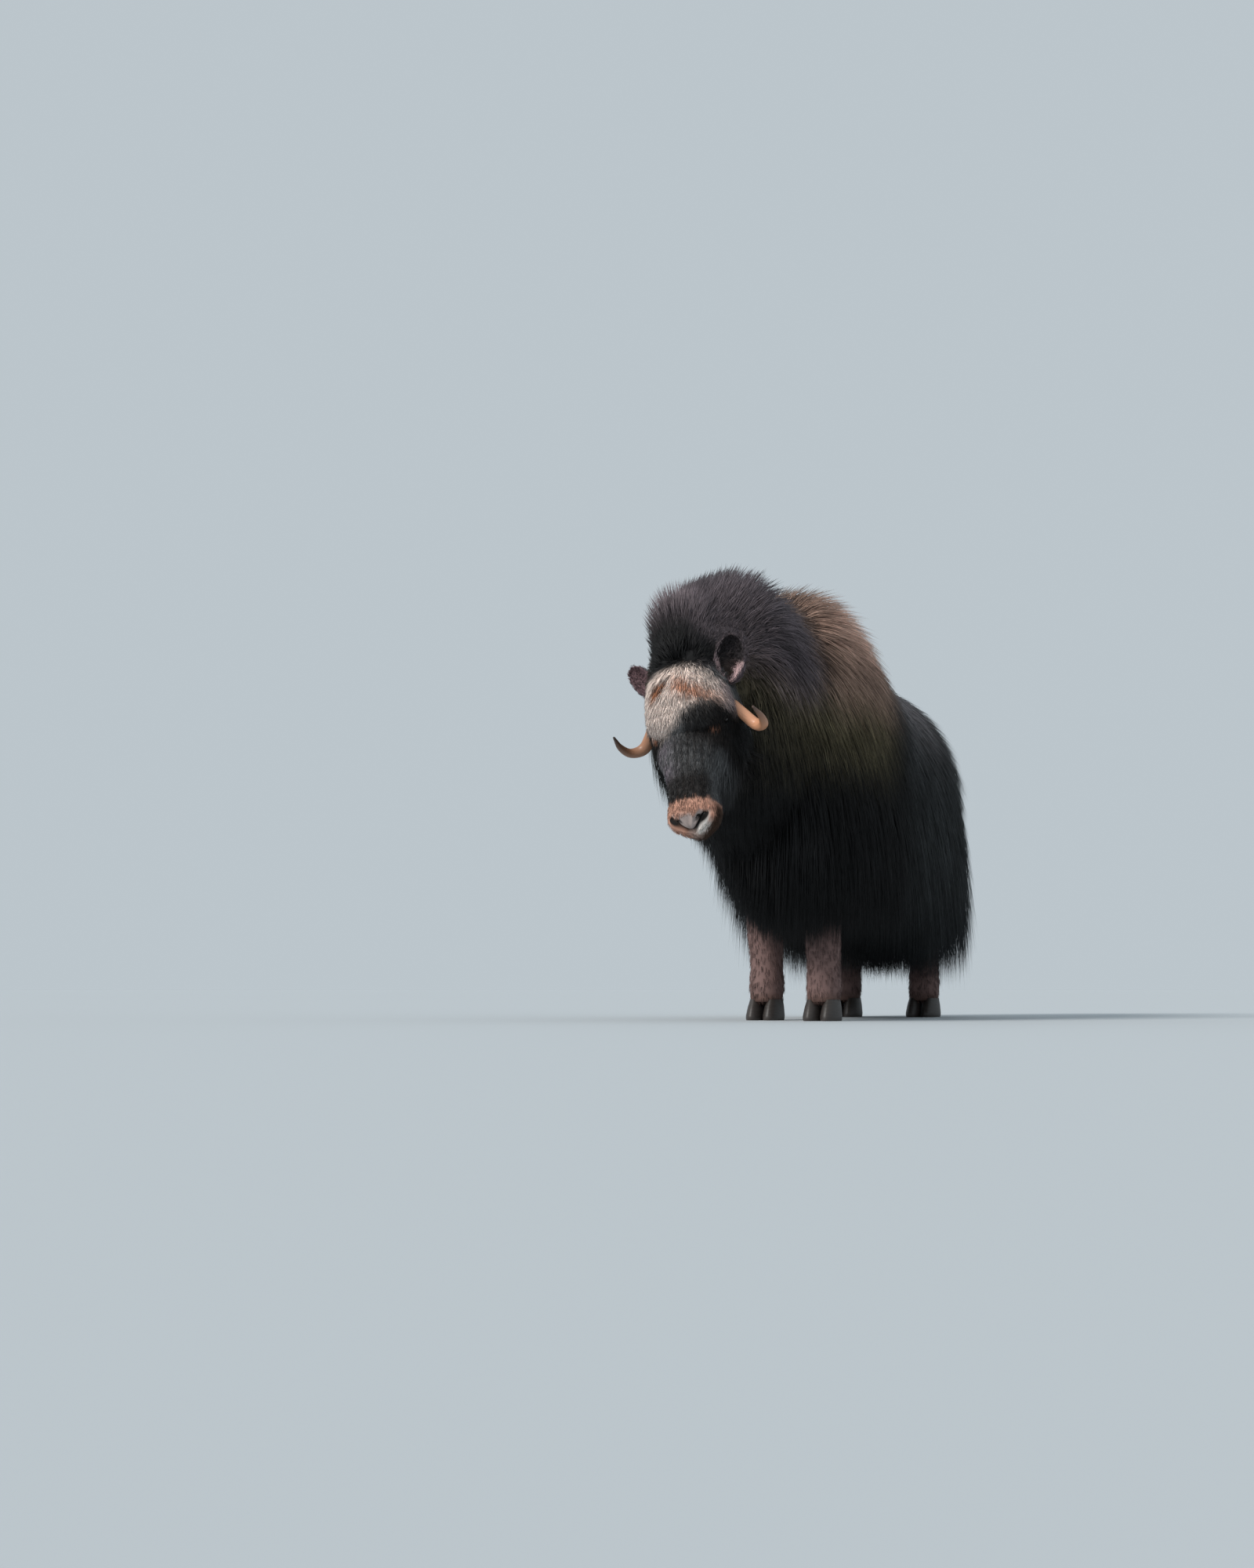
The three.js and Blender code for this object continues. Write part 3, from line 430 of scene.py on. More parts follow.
eye_shift = round_eye(head_points, head_normals, 1) + round_eye(head_points, head_normals, -1)
head_points = head_points + eye_shift
skin_parts.append(SkinPart("head", head_points, head_normals, (0.12, 0.51, 0.72, 0.98)))


def swept(path, radii, sides):
    """Rings of points round a closed or open path, one ring for each of its points."""
    path = np.asarray(path, float)
    heading = unit(np.gradient(path, axis=0))
    first = unit(np.cross(heading, [0.31, 0.52, 0.8]))
    second = np.cross(heading, first)
    turn = rounded(sides)
    radii = np.broadcast_to(radii, len(path))[:, None, None]
    ring = first[:, None, :] * np.cos(turn)[:, None] + second[:, None, :] * np.sin(turn)[:, None]
    return path[:, None, :] + ring * radii


def lid_rim(sign):
    """The margin of the lids, a thin roll round the almond opening that rests on the eyeball."""
    eye, axis, length = eye_frame(sign)
    across = np.cross(axis, length)
    turn = even(0, 2 * math.pi, 49)
    l = 16.4 * np.cos(turn)
    h = 9.6 * np.sign(np.sin(turn)) * np.abs(np.sin(turn)) ** 1.35
    depth = np.sqrt(np.maximum((EYE_RADIUS + 1.6) ** 2 - l**2 - h**2, 4.0))
    path = eye + np.outer(l, length) + np.outer(h, across) + np.outer(depth, axis)
    return swept(path, 2.3, 10)


for number, sign in enumerate((-1, 1)):
    rim = lid_rim(sign)
    low = 0.75 + number * 0.06
    outwards = unit(rim - rim.mean(axis=1, keepdims=True))
    skin_parts.append(SkinPart(f"lid_{number}", rim, outwards, (low, 0.51, low + 0.05, 0.6)))

# The ears: the left stands up and the right is laid out to its side. Each is a thin leaf curled into a cup.
EAR_LENGTH = 138.0
# where the ear leaves the head, the way to its tip, the way it opens and its half width
EAR_POSES = {
    "left": ((56, 114, 6), (0.06, 0.1, 1.0), (0.34, -0.9, 0.0), 41),
    "right": ((40, -104, 14), (-0.68, 0.45, 0.58), (-0.3, -0.9, 0.0), 30),
}


def ear_cup(side):
    place, tipward, facing, half = EAR_POSES[side]
    tipward = unit(tipward)
    facing = np.array(facing)
    facing = unit(facing - tipward * (facing @ tipward))
    across = np.cross(facing, tipward)
    rings = []
    for u in even(0.02, 0.99, 30):
        wide = half * max(1 - abs(2 * u - 1) ** 2.4, 0.02) ** 0.55
        deep = wide * (0.86 - 0.2 * u)
        spread = (128 - 46 * u) * RADIAN
        outer = even(-spread, spread, 19)
        inner = outer[::-1]
        wall = 1 - 3.4 / max(wide, 8)
        ring = [(wide * math.sin(a), -deep * math.cos(a)) for a in outer]
        ring += [(wide * wall * math.sin(a), -deep * wall * math.cos(a)) for a in inner]
        centre = on_head(*place) + tipward * (EAR_LENGTH * u) + facing * (10 * u * u)
        rings.append([centre + across * x + facing * y for x, y in ring])
    return np.array(rings)


for number, side in enumerate(EAR_POSES):
    cup = ear_cup(side)
    low = 0.75 + number * 0.12
    part = SkinPart("ear_" + side, cup, ring_normals(cup, cup.mean(axis=1)), (low, 0.63, low + 0.11, 0.98))
    half_way = cup.shape[1] // 2
    inner = np.tile(np.arange(cup.shape[1]) >= half_way, cup.shape[0])
    part.inner = np.concatenate([inner, [False, False]])
    skin_parts.append(part)

# Deep wool behind the horns shapes the crown like a cap. It thins out to the right side and round the ears.
CROWN_WOOL = 44.0
HIDDEN_DEPTH = 6.0


def clear_of_ears(points):
    """The share of its depth that the coat keeps near the ears, so that they stand free of it."""
    share = np.ones(len(points))
    for place, tipward, _, _ in EAR_POSES.values():
        from_base = points - on_head(*place)
        along = np.clip(from_base @ unit(tipward), 0, EAR_LENGTH)
        gap = np.linalg.norm(from_base - np.outer(along, unit(tipward)), axis=1)
        share = np.minimum(share, 0.12 + 0.88 * smoothstep(gap, 55, 165))
    return share


by_name = {part.name: part for part in skin_parts}
neck_part = by_name["neck"]
facing_up = neck_part.normals[:, 2] - 0.3 * neck_part.normals[:, 1]
wool = smoothstep(-neck_part.points[:, 1], 240, 440) * smoothstep(-neck_part.points[:, 1], 578, 540)
wool = wool * smoothstep(facing_up, -0.1, 0.7) * clear_of_ears(neck_part.points)
wool = wool * (1 - 0.5 * smoothstep(-neck_part.normals[:, 0], 0.25, 0.75))
neck_part.points = neck_part.points + neck_part.normals * (CROWN_WOOL * wool)[:, None]

# Where one loft runs inside another it carries no coat.
for part in skin_parts:
    part.tree = BVHTree.FromPolygons([tuple(p) for p in part.points], part.faces)


def is_inside(part, point):
    nearest, normal, _, distance = part.tree.find_nearest(Vector(point))
    return normal.dot(Vector(point) - nearest) < -max(HIDDEN_DEPTH, 0.5 * distance)


HIDERS = {
    "trunk": ("neck",),
    "neck": ("trunk", "head"),
    "head": ("neck", "trunk"),
    "tail": ("trunk",),
    **{"leg_" + name: ("trunk",) for name in LEGS},
}
for part in skin_parts:
    hiders = [by_name[name] for name in HIDERS.get(part.name, ())]
    part.hidden = np.array([any(is_inside(hider, p) for hider in hiders) for p in part.points], bool)

# Markings: near-black, olive-brown on the neck and shoulders, greyer on the crown and rusty behind it, paler
# on the saddle and the shanks, with a cream patch on the forehead and a tan muzzle. The crown's grey, the
# hump's brown and the rust are partly the coat's own tone and partly a painted sheen where light falls on
# the top. Painted shade darkens the eye sockets, under the brow, the face's left side, the mouth line and
# the nostrils, and a painted sheen lies on the nose bridge. They are kept with the skin, as a colour at each
# point, so that the coat grows in the same colours.
COLOURS = {
    "black": (0.0125, 0.0125, 0.0130),
    "flank": (0.036, 0.039, 0.040),
    "shoulder": (0.140, 0.116, 0.066),
    "hump": (0.300, 0.196, 0.150),
    "crown": (0.132, 0.108, 0.118),
    "rust_and_top_light": (0.720, 0.450, 0.350),
    "saddle": (0.230, 0.205, 0.210),
    "shank": (0.190, 0.120, 0.110),
    "face": (0.130, 0.130, 0.132),
    "bridge": (0.200, 0.160, 0.190),
    "socket": (0.018, 0.015, 0.014),
    "cream": (0.960, 0.780, 0.690),
    "tan": (0.560, 0.245, 0.145),
    "oval": (0.380, 0.155, 0.080),
    "dusk": (0.300, 0.215, 0.240),
    "muzzle": (0.580, 0.310, 0.225),
    "pad": (0.350, 0.285, 0.265),
    "lip": (0.920, 0.840, 0.780),
    "chin": (0.070, 0.038, 0.025),
    "ear_left": (0.1518, 0.1188, 0.1298),
    "ear_right": (0.1782, 0.108, 0.118),
    "ear_inside": (0.800, 0.560, 0.560),
    "eye_corner": (0.620, 0.270, 0.160),
    "wet": (0.006, 0.005, 0.005),
}
COLOURS = {name: np.array(colour) for name, colour in COLOURS.items()}


def painted(base, count, *coats):
    """Colours at a part's points: a base, then each named colour over it as far as its mask says."""
    tint = np.tile(COLOURS[base], (count, 1))
    for name, mask in coats:
        tint = tint + (COLOURS[name] - tint) * np.clip(mask, 0, 1)[:, None]
    return tint


def body_markings(part):
    x, y, z = part.points.T
    high = smoothstep(part.normals[:, 2], -0.1, 0.7)
    olive = smoothstep(z, 760, 970) * smoothstep(y, 260, -40) * (0.55 + 0.45 * smoothstep(y, -430, -330))
    behind_crown = smoothstep(2.0 * x + y, -150, 100) * smoothstep(y, 330, 170)
    return painted(
        "black", len(x),
        ("flank", smoothstep(y, 120, 420) * smoothstep(z, 520, 760)),
        ("shoulder", olive),
        # the hump's brown on top: partly the coat's tone, partly a painted sheen where light falls from
        # above
        ("hump", smoothstep(z, 930, 1060) * smoothstep(y, 330, 60)),
        # the crown's purple-grey on top: partly the coat's tone, partly a painted sheen of the sky's light
        ("crown", smoothstep(z, 930, 1030) * smoothstep(y - 0.4 * x, -230, -400)),
        ("black", near(z, 1010, 60) * smoothstep(y, -500, -560) * 0.85),
        ("black", smoothstep(y, -555, -575) * smoothstep(z, 1060, 1015)),
        # the rust high behind the crown: partly the coat's tone, partly painted light on the top
        ("rust_and_top_light", behind_crown * smoothstep(z, 1075, 1140) * 0.95),
        ("saddle", near(y, 480, 270) * high * smoothstep(np.abs(x), 250, 120) * 0.9),
    )


def leg_markings(part):
    z = part.points[:, 2]
    shank, foot = smoothstep(z, 330, 230), smoothstep(z, 90, 60)
    return painted("black", len(z), ("shank", shank), ("chin", foot * 0.6))


# The cream patch on the forehead: how far down its top and bottom edges lie, from the right side to the left
PATCH_TOP = ([-122, -88, -40, 12, 50, 78, 109, 132], [50, 16, 4, -6, 8, 26, 58, 92])
PATCH_BOTTOM = (
    [-122, -80, -50, -27, -5, 20, 37, 69, 122],
    [150, 196, 212, 206, 180, 140, 118, 104, 114],
)
# The brown oval over the right horn's root, set slantwise
OVAL_DOWN = 63
OVAL_ACROSS = -46
OVAL_TURN = 42 * RADIAN


def face_coats(points, down, across, around):
    """The face's dark mask, from the poll to the muzzle, with painted shade round the eyes, under the brow
    and on the face's left side, a painted sheen on the bridge, and the warm spot in the corner of each eye.
    """
    middle = smoothstep(down, 200, 250) * smoothstep(around, 80, 45) * smoothstep(across, -34, -6)
    bridge = smoothstep(down, 215, 260) * smoothstep(down, 400, 350) * near(across, -58, 36)
    streaks = 0.3 * np.sin(across * 0.43 + 0.03 * down) * np.sin(across * 0.17 + 2)
    dark_band = smoothstep(down, 325, 368) * smoothstep(around, 84, 54)
    brow = smoothstep(down, 108, 132) * smoothstep(down, 290, 215) * smoothstep(across, 4, 30)
    coats = [
        # the crown's purple-grey on the poll: partly the coat's tone, partly a painted sheen of light on top
        ("crown", smoothstep(down, 30, -10) * smoothstep(around, 110, 80)),
        ("black", near(down, -14, 30) * smoothstep(around, 110, 80)),
        # painted shade: the face's left side, turned away from the light, darkens to black
        ("black", smoothstep(around, 96, 118) * smoothstep(across, 0, 20) * 0.8),
        ("socket", middle * (0.55 + 0.25 * np.sin(across * 0.37 + down * 0.02))),
        # painted sheen: a streaky lit purple-grey on the right side of the nose bridge
        ("bridge", bridge * (0.5 + streaks + 0.2 * np.sin(down * 0.06))),
        # the dark band above the muzzle is the face's own colour; the dark under the brow on the left is
        # painted shade
        ("socket", np.maximum(dark_band, brow) * (0.85 + 0.15 * np.sin(across * 0.3))),
    ]
    for sign in (-1, 1):
        eye = eye_frame(sign)[0]
        corner = on_head(EYE_DOWN + 20, (EYE_ACROSS - 12) * sign, EYE_OUT + 28)
        # painted shade: the face darkens round each eye, as in its deep socket
        coats.append(("socket", smoothstep(np.linalg.norm(points - eye, axis=1), 92, 56)))
        coats.append(("eye_corner", smoothstep(np.linalg.norm(points - corner, axis=1), 20, 8) * 0.8))
    return coats


def patch_coats(down, across, around):
    """The cream patch, with a ragged edge, a tan wedge across it and a dark-edged brown oval."""
    ragged = 9 * np.sin(across * 0.31) * np.sin(across * 0.13 + 1) + 4 * np.sin(across * 0.83)
    top = np.interp(across, *PATCH_TOP)
    bottom = np.interp(across, *PATCH_BOTTOM) + ragged
    patch = smoothstep(down, top - 8, top + 10) * smoothstep(down, bottom + 26, bottom - 24)
    patch = patch * smoothstep(around, 98, 78)
    wedge = near(down, 48 + 0.72 * across, 26) * smoothstep(across, -12, 12) * smoothstep(across, 112, 90)
    cosine, sine = math.cos(OVAL_TURN), math.sin(OVAL_TURN)
    long = (down - OVAL_DOWN) * cosine - (across - OVAL_ACROSS) * sine
    short = (down - OVAL_DOWN) * sine + (across - OVAL_ACROSS) * cosine
    oval = np.hypot(long / 35, short / 12.5)
    return [
        ("cream", patch),
        ("tan", wedge * patch),
        ("dusk", smoothstep(across, 84, 112) * patch * 0.8),
        ("black", smoothstep(np.abs(across), 106, 116) * smoothstep(down, 88, 104) * 0.9),
        ("oval", smoothstep(oval, 1.2, 0.8)),
        ("wet", near(oval, 1.14, 0.24) * (long < 12)),
    ]


def muzzle_coats(points, down, across, out):
    """The muzzle, from its tan band to the nose pad, lips and chin, with painted shade in the mouth line and
    nostrils.
    """
    edge = down + 6 * np.sin(across * 0.35) * np.sin(across * 0.12 + 1)
    off = out - mouth_line(across)
    front = smoothstep(down, MOUTH_FROM - 4, MOUTH_FROM + 12)
    pad = smoothstep(off, 2, 6) * smoothstep(out, 58, 50) * smoothstep(np.abs(across), 54, 42)
    lip = smoothstep(off, -52, -22) * smoothstep(off, 3, -3) * smoothstep(across, -16, 24)
    return [
        ("muzzle", smoothstep(edge, 420, 436) * smoothstep(out, -66, -40)),
        ("pad", front * pad),
        ("lip", front * lip * smoothstep(across, 66, 50)),
        ("chin", smoothstep(down, 430, 450) * smoothstep(off - 0.3 * across, -36, -50)),
        # painted shade: the mouth line is darkened as the slit between the lips
        ("wet", front * near(off, 0, 6.5) * smoothstep(np.abs(across), 66, 52)),
        # painted shade: near-black wherever the muzzle is pushed in, in the nostrils and the mouth's groove
        ("wet", smoothstep(-shape_muzzle(points), 2.8, 5.4)),
    ]


def head_markings(part):
    down, across, out = head_place(part.points)
    around = np.degrees(np.arctan2(np.abs(across), out))
    return painted(
        "face", len(down),
        *face_coats(part.points, down, across, around),
        *patch_coats(down, across, around),
        *muzzle_coats(part.points, down, across, out),
    )


def ear_markings(part):
    """Only the left ear shows its inside: dark, and bare and pink low down."""
    up_the_ear = np.arange(len(part.points)) / len(part.points)
    shows = part.inner * (part.name == "ear_left")
    return painted(
        part.name, len(part.points),
        ("black", shows * 0.85),
        ("ear_inside", shows * smoothstep(up_the_ear, 0.55, 0.2)),
    )


def lid_markings(part):
    return painted("wet", len(part.points))


# The lie of the coat at each point: which way its tufts lie, and how far they stand off, reach, droop and
# spread. The area says which piece of coat a point belongs to.
AREAS = [
    "bare", "crown", "forehead", "cheeks", "face", "neck_left", "neck_right", "hump_left", "hump_right",
    "flank_left", "flank_right", "skirt_left", "skirt_right", "chest", "rump", "legs", "ears",
]
AREA = {name: number for number, name in enumerate(AREAS)}


def mixed(value, goal, share):
    """Values moved towards their goal by a share, point by point."""
    share = share[:, None] if value.ndim == 2 else share
    return value * (1 - share) + goal * share


def same_all_over(count, lie, *values):
    """One lie and any other single values, at all the points of a part."""
    return (np.tile(np.array(lie, float), (count, 1)), *[np.full(count, value) for value in values])


# The hem at the front: how far across the view, then its height
HEM = ([-126, -113, -93, -83, -73, -58, -46, -24], [523, 489, 431, 362, 316, 270, 246, 222])


def hem_height(x, y):
    """The height of the coat's lower edge: it drops to the rear and rises at the front of the right side."""
    front = np.interp(0.416 * x + 0.15 * y, *HEM)
    return np.where(y > 300, HEM[1][-1], front) - 82 * smoothstep(y, 150, 640)


def by_side(x, name):
    return np.where(x >= 0, AREA[name + "_left"], AREA[name + "_right"])


def body_lie(part):
    x, y, z = part.points.T
    n = part.normals
    top = np.maximum(n[:, 2], 0)
    hump = (1 - smoothstep(y, 60, 330)) * top**6
    zero = np.zeros_like(x)
    lie = np.stack([zero, 0.26 + 1.1 * top**1.7, -np.ones_like(x)], axis=1)
    rear = smoothstep(n[:, 1], 0.35, 0.75) * (z > 640)
    low = smoothstep(z, 800, 650)
    under = smoothstep(n[:, 2], 0.0, -0.7)
    beneath = smoothstep(n[:, 2], -0.55, -0.95)
    rise = mixed(0.34 + 0.18 * top**4 + 0.2 * hump - 0.08 * smoothstep(y, 230, 380), 0.3, rear)
    rise = mixed(rise, 0.3 + 2.2 * beneath, low) * (1 - 0.45 * smoothstep(x, 200, 270))
    reach = mixed((215 - 35 * top) * (1 + 0.2 * hump), 225, rear)
    reach = mixed(reach, np.maximum(z - hem_height(x, y), 60) * 1.12, low)
    droop = mixed(0.45 - 0.2 * top, 0.3 + 1.6 * top + 5 * under, low)
    area = by_side(x, "flank")
    area = np.where(y < 300, by_side(x, "hump"), area)
    area = np.where(z < 690, by_side(x, "skirt"), area)
    area = np.where((y < -150) & (z < 690), AREA["chest"], area)
    area = np.where(y > 1000, AREA["rump"], area)
    return mixed(lie, -UP, low), rise, reach, droop, np.full_like(x, 11.0), area


# The neck's hair by its place round the neck: degrees from the top, then rise and reach
NECK_TURN = [0, 26, 52, 78, 106, 138, 180]
NECK_RISE = [0.6, 0.56, 0.5, 0.44, 0.36, 0.3, 0.2]
NECK_REACH = [165, 165, 165, 180, 225, 255, 250]


def neck_lie(part):
    n = part.normals
    top = np.maximum(n[:, 2], 0)
    around = np.minimum(part.angle, 1 - part.angle) * 360
    lie = np.stack([np.zeros_like(top), 0.42 + 0.8 * top, -1 + 1.05 * top], axis=1)
    capped = smoothstep(-part.points[:, 1], 380, 520) * smoothstep(n[:, 2] - 0.3 * n[:, 1], 0.0, 0.5)
    lie = lie + np.outer(capped, UP) * 1.3
    cleared = clear_of_ears(part.points)
    rise = np.interp(around, NECK_TURN, NECK_RISE) * (0.5 + 0.5 * cleared)
    reach = np.interp(around, NECK_TURN, NECK_REACH) * (1 - 0.3 * capped) * cleared
    x, y, _ = part.points.T
    middle = np.interp(-y, [60, 230, 370, 475, 540], [0, -32, -76, -112, -126])
    area = np.where(capped > 0.5, AREA["crown"], by_side(x - middle, "neck"))
    return lie, rise, reach, 0.5 - 0.35 * top, 11.0 - 4.0 * capped, area


def head_lie(part):
    """Short hair on the face, forward on the forehead, upright at the poll and hanging on the cheeks."""
    down, across, out = head_place(part.points)
    around = np.degrees(np.arctan2(np.abs(across), out))
    count = len(down)
    lie = np.tile(ALONG * 0.9 - UP * 0.45, (count, 1)) + np.outer(across, LEFT) * 0.002
    rise = np.full(count, 0.16)
    reach = 15 + 22 * smoothstep(down, 420, 240) * smoothstep(around, 20, 90)
    droop = np.full(count, 0.1)
    wide = np.full(count, 3.4)
    area = np.full(count, AREA["face"])

    fore = smoothstep(down, 225, 165) * smoothstep(around, 84, 66) * smoothstep(down, -34, -14)
    lie = mixed(lie, ALONG + np.outer(across, LEFT) * 0.006, fore)
    rise = mixed(rise, 0.36, fore)
    reach = mixed(reach, 50 - 24 * smoothstep(around, 38, 62), fore)
    wide = mixed(wide, 6.0, fore)
    area = np.where(fore > 0.3, AREA["forehead"], area)

    horn_root = near(down, 98, 34) * smoothstep(across, 78, 100)
    lie = lie + np.outer(horn_root, LEFT) * 1.1
    reach = reach + 46 * horn_root
    rise = rise + 0.12 * horn_root

    edge = np.interp(np.abs(across), [0, 60, 110], [-24, -4, 36])
    poll = smoothstep(down, edge + 6, edge - 6) * smoothstep(around, 105, 85)
    lie = mixed(lie, 0.2 * BACKWARD - ALONG + np.outer(across, LEFT) * 0.004, poll)
    rise = mixed(rise, 0.7 - 0.3 * smoothstep(np.abs(across), 30, 90), poll)
    reach = mixed(reach, (60 + 50 * smoothstep(down, 20, -20)) * clear_of_ears(part.points), poll)
    droop = mixed(droop, -0.2, poll)
    wide = mixed(wide, 7.0, poll)
    area = np.where(poll > 0.3, AREA["crown"], area)

    cheek = smoothstep(around, 92, 116) * smoothstep(down, 372, 300)
    lie = mixed(lie, 0.5 * BACKWARD - UP, cheek)
    rise = mixed(rise, 0.3, cheek)
    reach = mixed(reach, np.where(across < 0, 34, 145), cheek)
    droop = mixed(droop, 0.5, cheek)
    wide = mixed(wide, 9.0, cheek)
    area = np.where((cheek > 0.25) & (poll < 0.3), AREA["cheeks"], area)

    off = out - mouth_line(across)
    bare = (down > MOUTH_FROM) & (np.abs(across) < 54) & (off > -3) & (out < 53)
    bare |= (down > MOUTH_FROM) & (np.abs(off) < 9)
    for sign in (-1, 1):
        bare |= np.linalg.norm(part.points - eye_frame(sign)[0], axis=1) < LID_RADIUS + 2.0
    return lie, rise, reach, droop, wide, np.where(bare, AREA["bare"], area)


def leg_lie(part):
    z = part.points[:, 2]
    area = np.where(z < 310, AREA["legs"], AREA["bare"])
    return (*same_all_over(len(z), (0, 0.12, -1.0), 0.13, 20.0, 0.1, 2.6), area)


def ear_lie(part):
    tipward = unit(part.points[-1] - part.points[-2])
    count = len(part.points)
    up_the_ear = np.arange(count) / count
    lie, droop, wide, area = same_all_over(count, tipward, 0.0, 3.5, AREA["ears"])
    reach = np.where(part.inner, 12 + 22 * smoothstep(up_the_ear, 0.5, 0.15), 22 - 12 * up_the_ear)
    return lie, np.where(part.inner, 0.5, 0.2), reach, droop, wide, area


def tail_lie(part):
    return same_all_over(len(part.points), (0, 0.1, -1.0), 0.25, 150.0, 0.3, 9.0, AREA["rump"])


def lid_lie(part):
    return same_all_over(len(part.points), UP, 0.0, 1.0, 0.0, 1.0, AREA["bare"])


def tips_stand(part):
    """How far the tips of the hair still stand off the body: most on the crown, some on the hump."""
    y = part.points[:, 1]
    facing_up = smoothstep(part.normals[:, 2] - 0.5 * part.normals[:, 1], 0.1, 0.9)
    front = smoothstep(y, -250, -450)
    return 0.03 + facing_up * (1 - smoothstep(y, 60, 330)) * (0.2 + 0.1 * front)


# how each kind of part is coloured and how its coat lies
KINDS = {
    "trunk": (body_markings, body_lie),
    "neck": (body_markings, neck_lie),
    "tail": (body_markings, tail_lie),
    "leg": (leg_markings, leg_lie),
    "head": (head_markings, head_lie),
    "ear": (ear_markings, ear_lie),
    "lid": (lid_markings, lid_lie),
}
for part in skin_parts:
    kind = part.name.split("_")[0]
    colours_of, lie_of = KINDS[kind]
    part.tint = colours_of(part)
    part.lie, part.rise, part.reach, part.droop, part.wide, part.area = lie_of(part)
    part.stand = tips_stand(part) if kind in ("trunk", "neck") else np.full(len(part.points), 0.03)
    part.area = np.where(part.hidden, AREA["bare"], part.area)

all_points = np.concatenate([part.points for part in skin_parts])
all_faces, all_corners, face_area = [], [], []
start = 0
for part in skin_parts:
    low_u, low_v, high_u, high_v = part.patch
    for face, corner in zip(part.faces, part.corners):
        all_faces.append([start + i for i in face])
        all_corners.extend((low_u + (high_u - low_u) * u, low_v + (high_v - low_v) * v) for u, v in corner)
        face_area.append(min(part.area[list(face)], key=lambda a: (a != 0, a)))
    start += len(part.points)


def keep(mesh, name, kind, domain, values):
    attribute = mesh.attributes.new(name, kind, domain)
    field = {"FLOAT_VECTOR": "vector", "FLOAT_COLOR": "color"}.get(kind, "value")
    attribute.data.foreach_set(field, np.ascontiguousarray(values, dtype=np.float32).ravel())


def plain_piece(name, points, faces, material):
    """A smooth piece of one material, from points in millimetres."""
    mesh = bpy.data.meshes.new(name)
    mesh.from_pydata(in_frame(points).tolist(), [], faces)
    mesh.shade_smooth()
    mesh.materials.append(material)
    piece = bpy.data.objects.new(name, mesh)
    bpy.context.scene.collection.objects.link(piece)
    return piece


def new_material(name):
    """An empty material, its tree and its Principled shader."""
    material = bpy.data.materials.new(name)
    material.use_nodes = True
    return material, material.node_tree, material.node_tree.nodes["Principled BSDF"]


def add_node(tree, kind, **settings):
    """A node with its properties set; a setting that names an input sets that input or links it."""
    made = tree.nodes.new(kind)
    for key, value in settings.items():
        if not key.startswith("in_"):
            setattr(made, key, value)
            continue
        place = key[3:]
        socket = made.inputs[int(place) if place.isdigit() else place.replace("_", " ")]
        if isinstance(value, bpy.types.NodeSocket):
            tree.links.new(value, socket)
        else:
            socket.default_value = value
    return made


def new_group(name, kind, inputs, outputs):
    """An empty node group with its sockets, and what it is given."""
    group = bpy.data.node_groups.new(name, kind)
    for way, sockets in (("INPUT", inputs), ("OUTPUT", outputs)):
        for title, socket in sockets.items():
            group.interface.new_socket(name=title, in_out=way, socket_type="NodeSocket" + socket)
    return group, add_node(group, "NodeGroupInput").outputs


def multiplied(tree, colour, shade):
    """A colour made darker or paler by a shade."""
    made = add_node(tree, "ShaderNodeMix", data_type="RGBA", blend_type="MULTIPLY", in_6=colour, in_7=shade)
    made.inputs["Factor"].default_value = 1.0
    return made.outputs[2]


# Uneven colour: a colour mottled by noise between its darkest and palest shade, for hide, horn and hooves
uneven_colour, given = new_group(
    "uneven_colour", "ShaderNodeTree",
    {"Colour": "Color", "Place": "Vector", "Scale": "Float", "Detail": "Float", "Darkest": "Float",
     "Palest": "Float"},
    {"Colour": "Color", "Height": "Float"},
)
noise = add_node(
    uneven_colour, "ShaderNodeTexNoise",
    in_Vector=given["Place"], in_Scale=given["Scale"], in_Detail=given["Detail"],
).outputs["Fac"]
shade = add_node(
    uneven_colour, "ShaderNodeMapRange", in_Value=noise, in_3=given["Darkest"], in_4=given["Palest"]
).outputs["Result"]
mottled = multiplied(uneven_colour, given["Colour"], shade)
add_node(uneven_colour, "NodeGroupOutput", in_Colour=mottled, in_Height=noise)

hide, tree, shader = new_material("hide")
tint = add_node(tree, "ShaderNodeAttribute", attribute_name="tint").outputs["Color"]
place = add_node(tree, "ShaderNodeTexCoord").outputs["Object"]
mottle = add_node(
    tree, "ShaderNodeGroup", node_tree=uneven_colour,
    in_Colour=tint, in_Place=place, in_Scale=38.0, in_Detail=5.0, in_Darkest=0.86, in_Palest=1.14,
)
pores = add_node(tree, "ShaderNodeTexNoise", in_Vector=place, in_Scale=420.0).outputs["Fac"]
grain = add_node(tree, "ShaderNodeBump", in_Height=pores, in_Strength=0.35, in_Distance=0.0006)
tree.links.new(mottle.outputs["Colour"], shader.inputs["Base Color"])
tree.links.new(grain.outputs["Normal"], shader.inputs["Normal"])
shader.inputs["Roughness"].default_value = 0.6
shader.inputs["Specular IOR Level"].default_value = 0.1

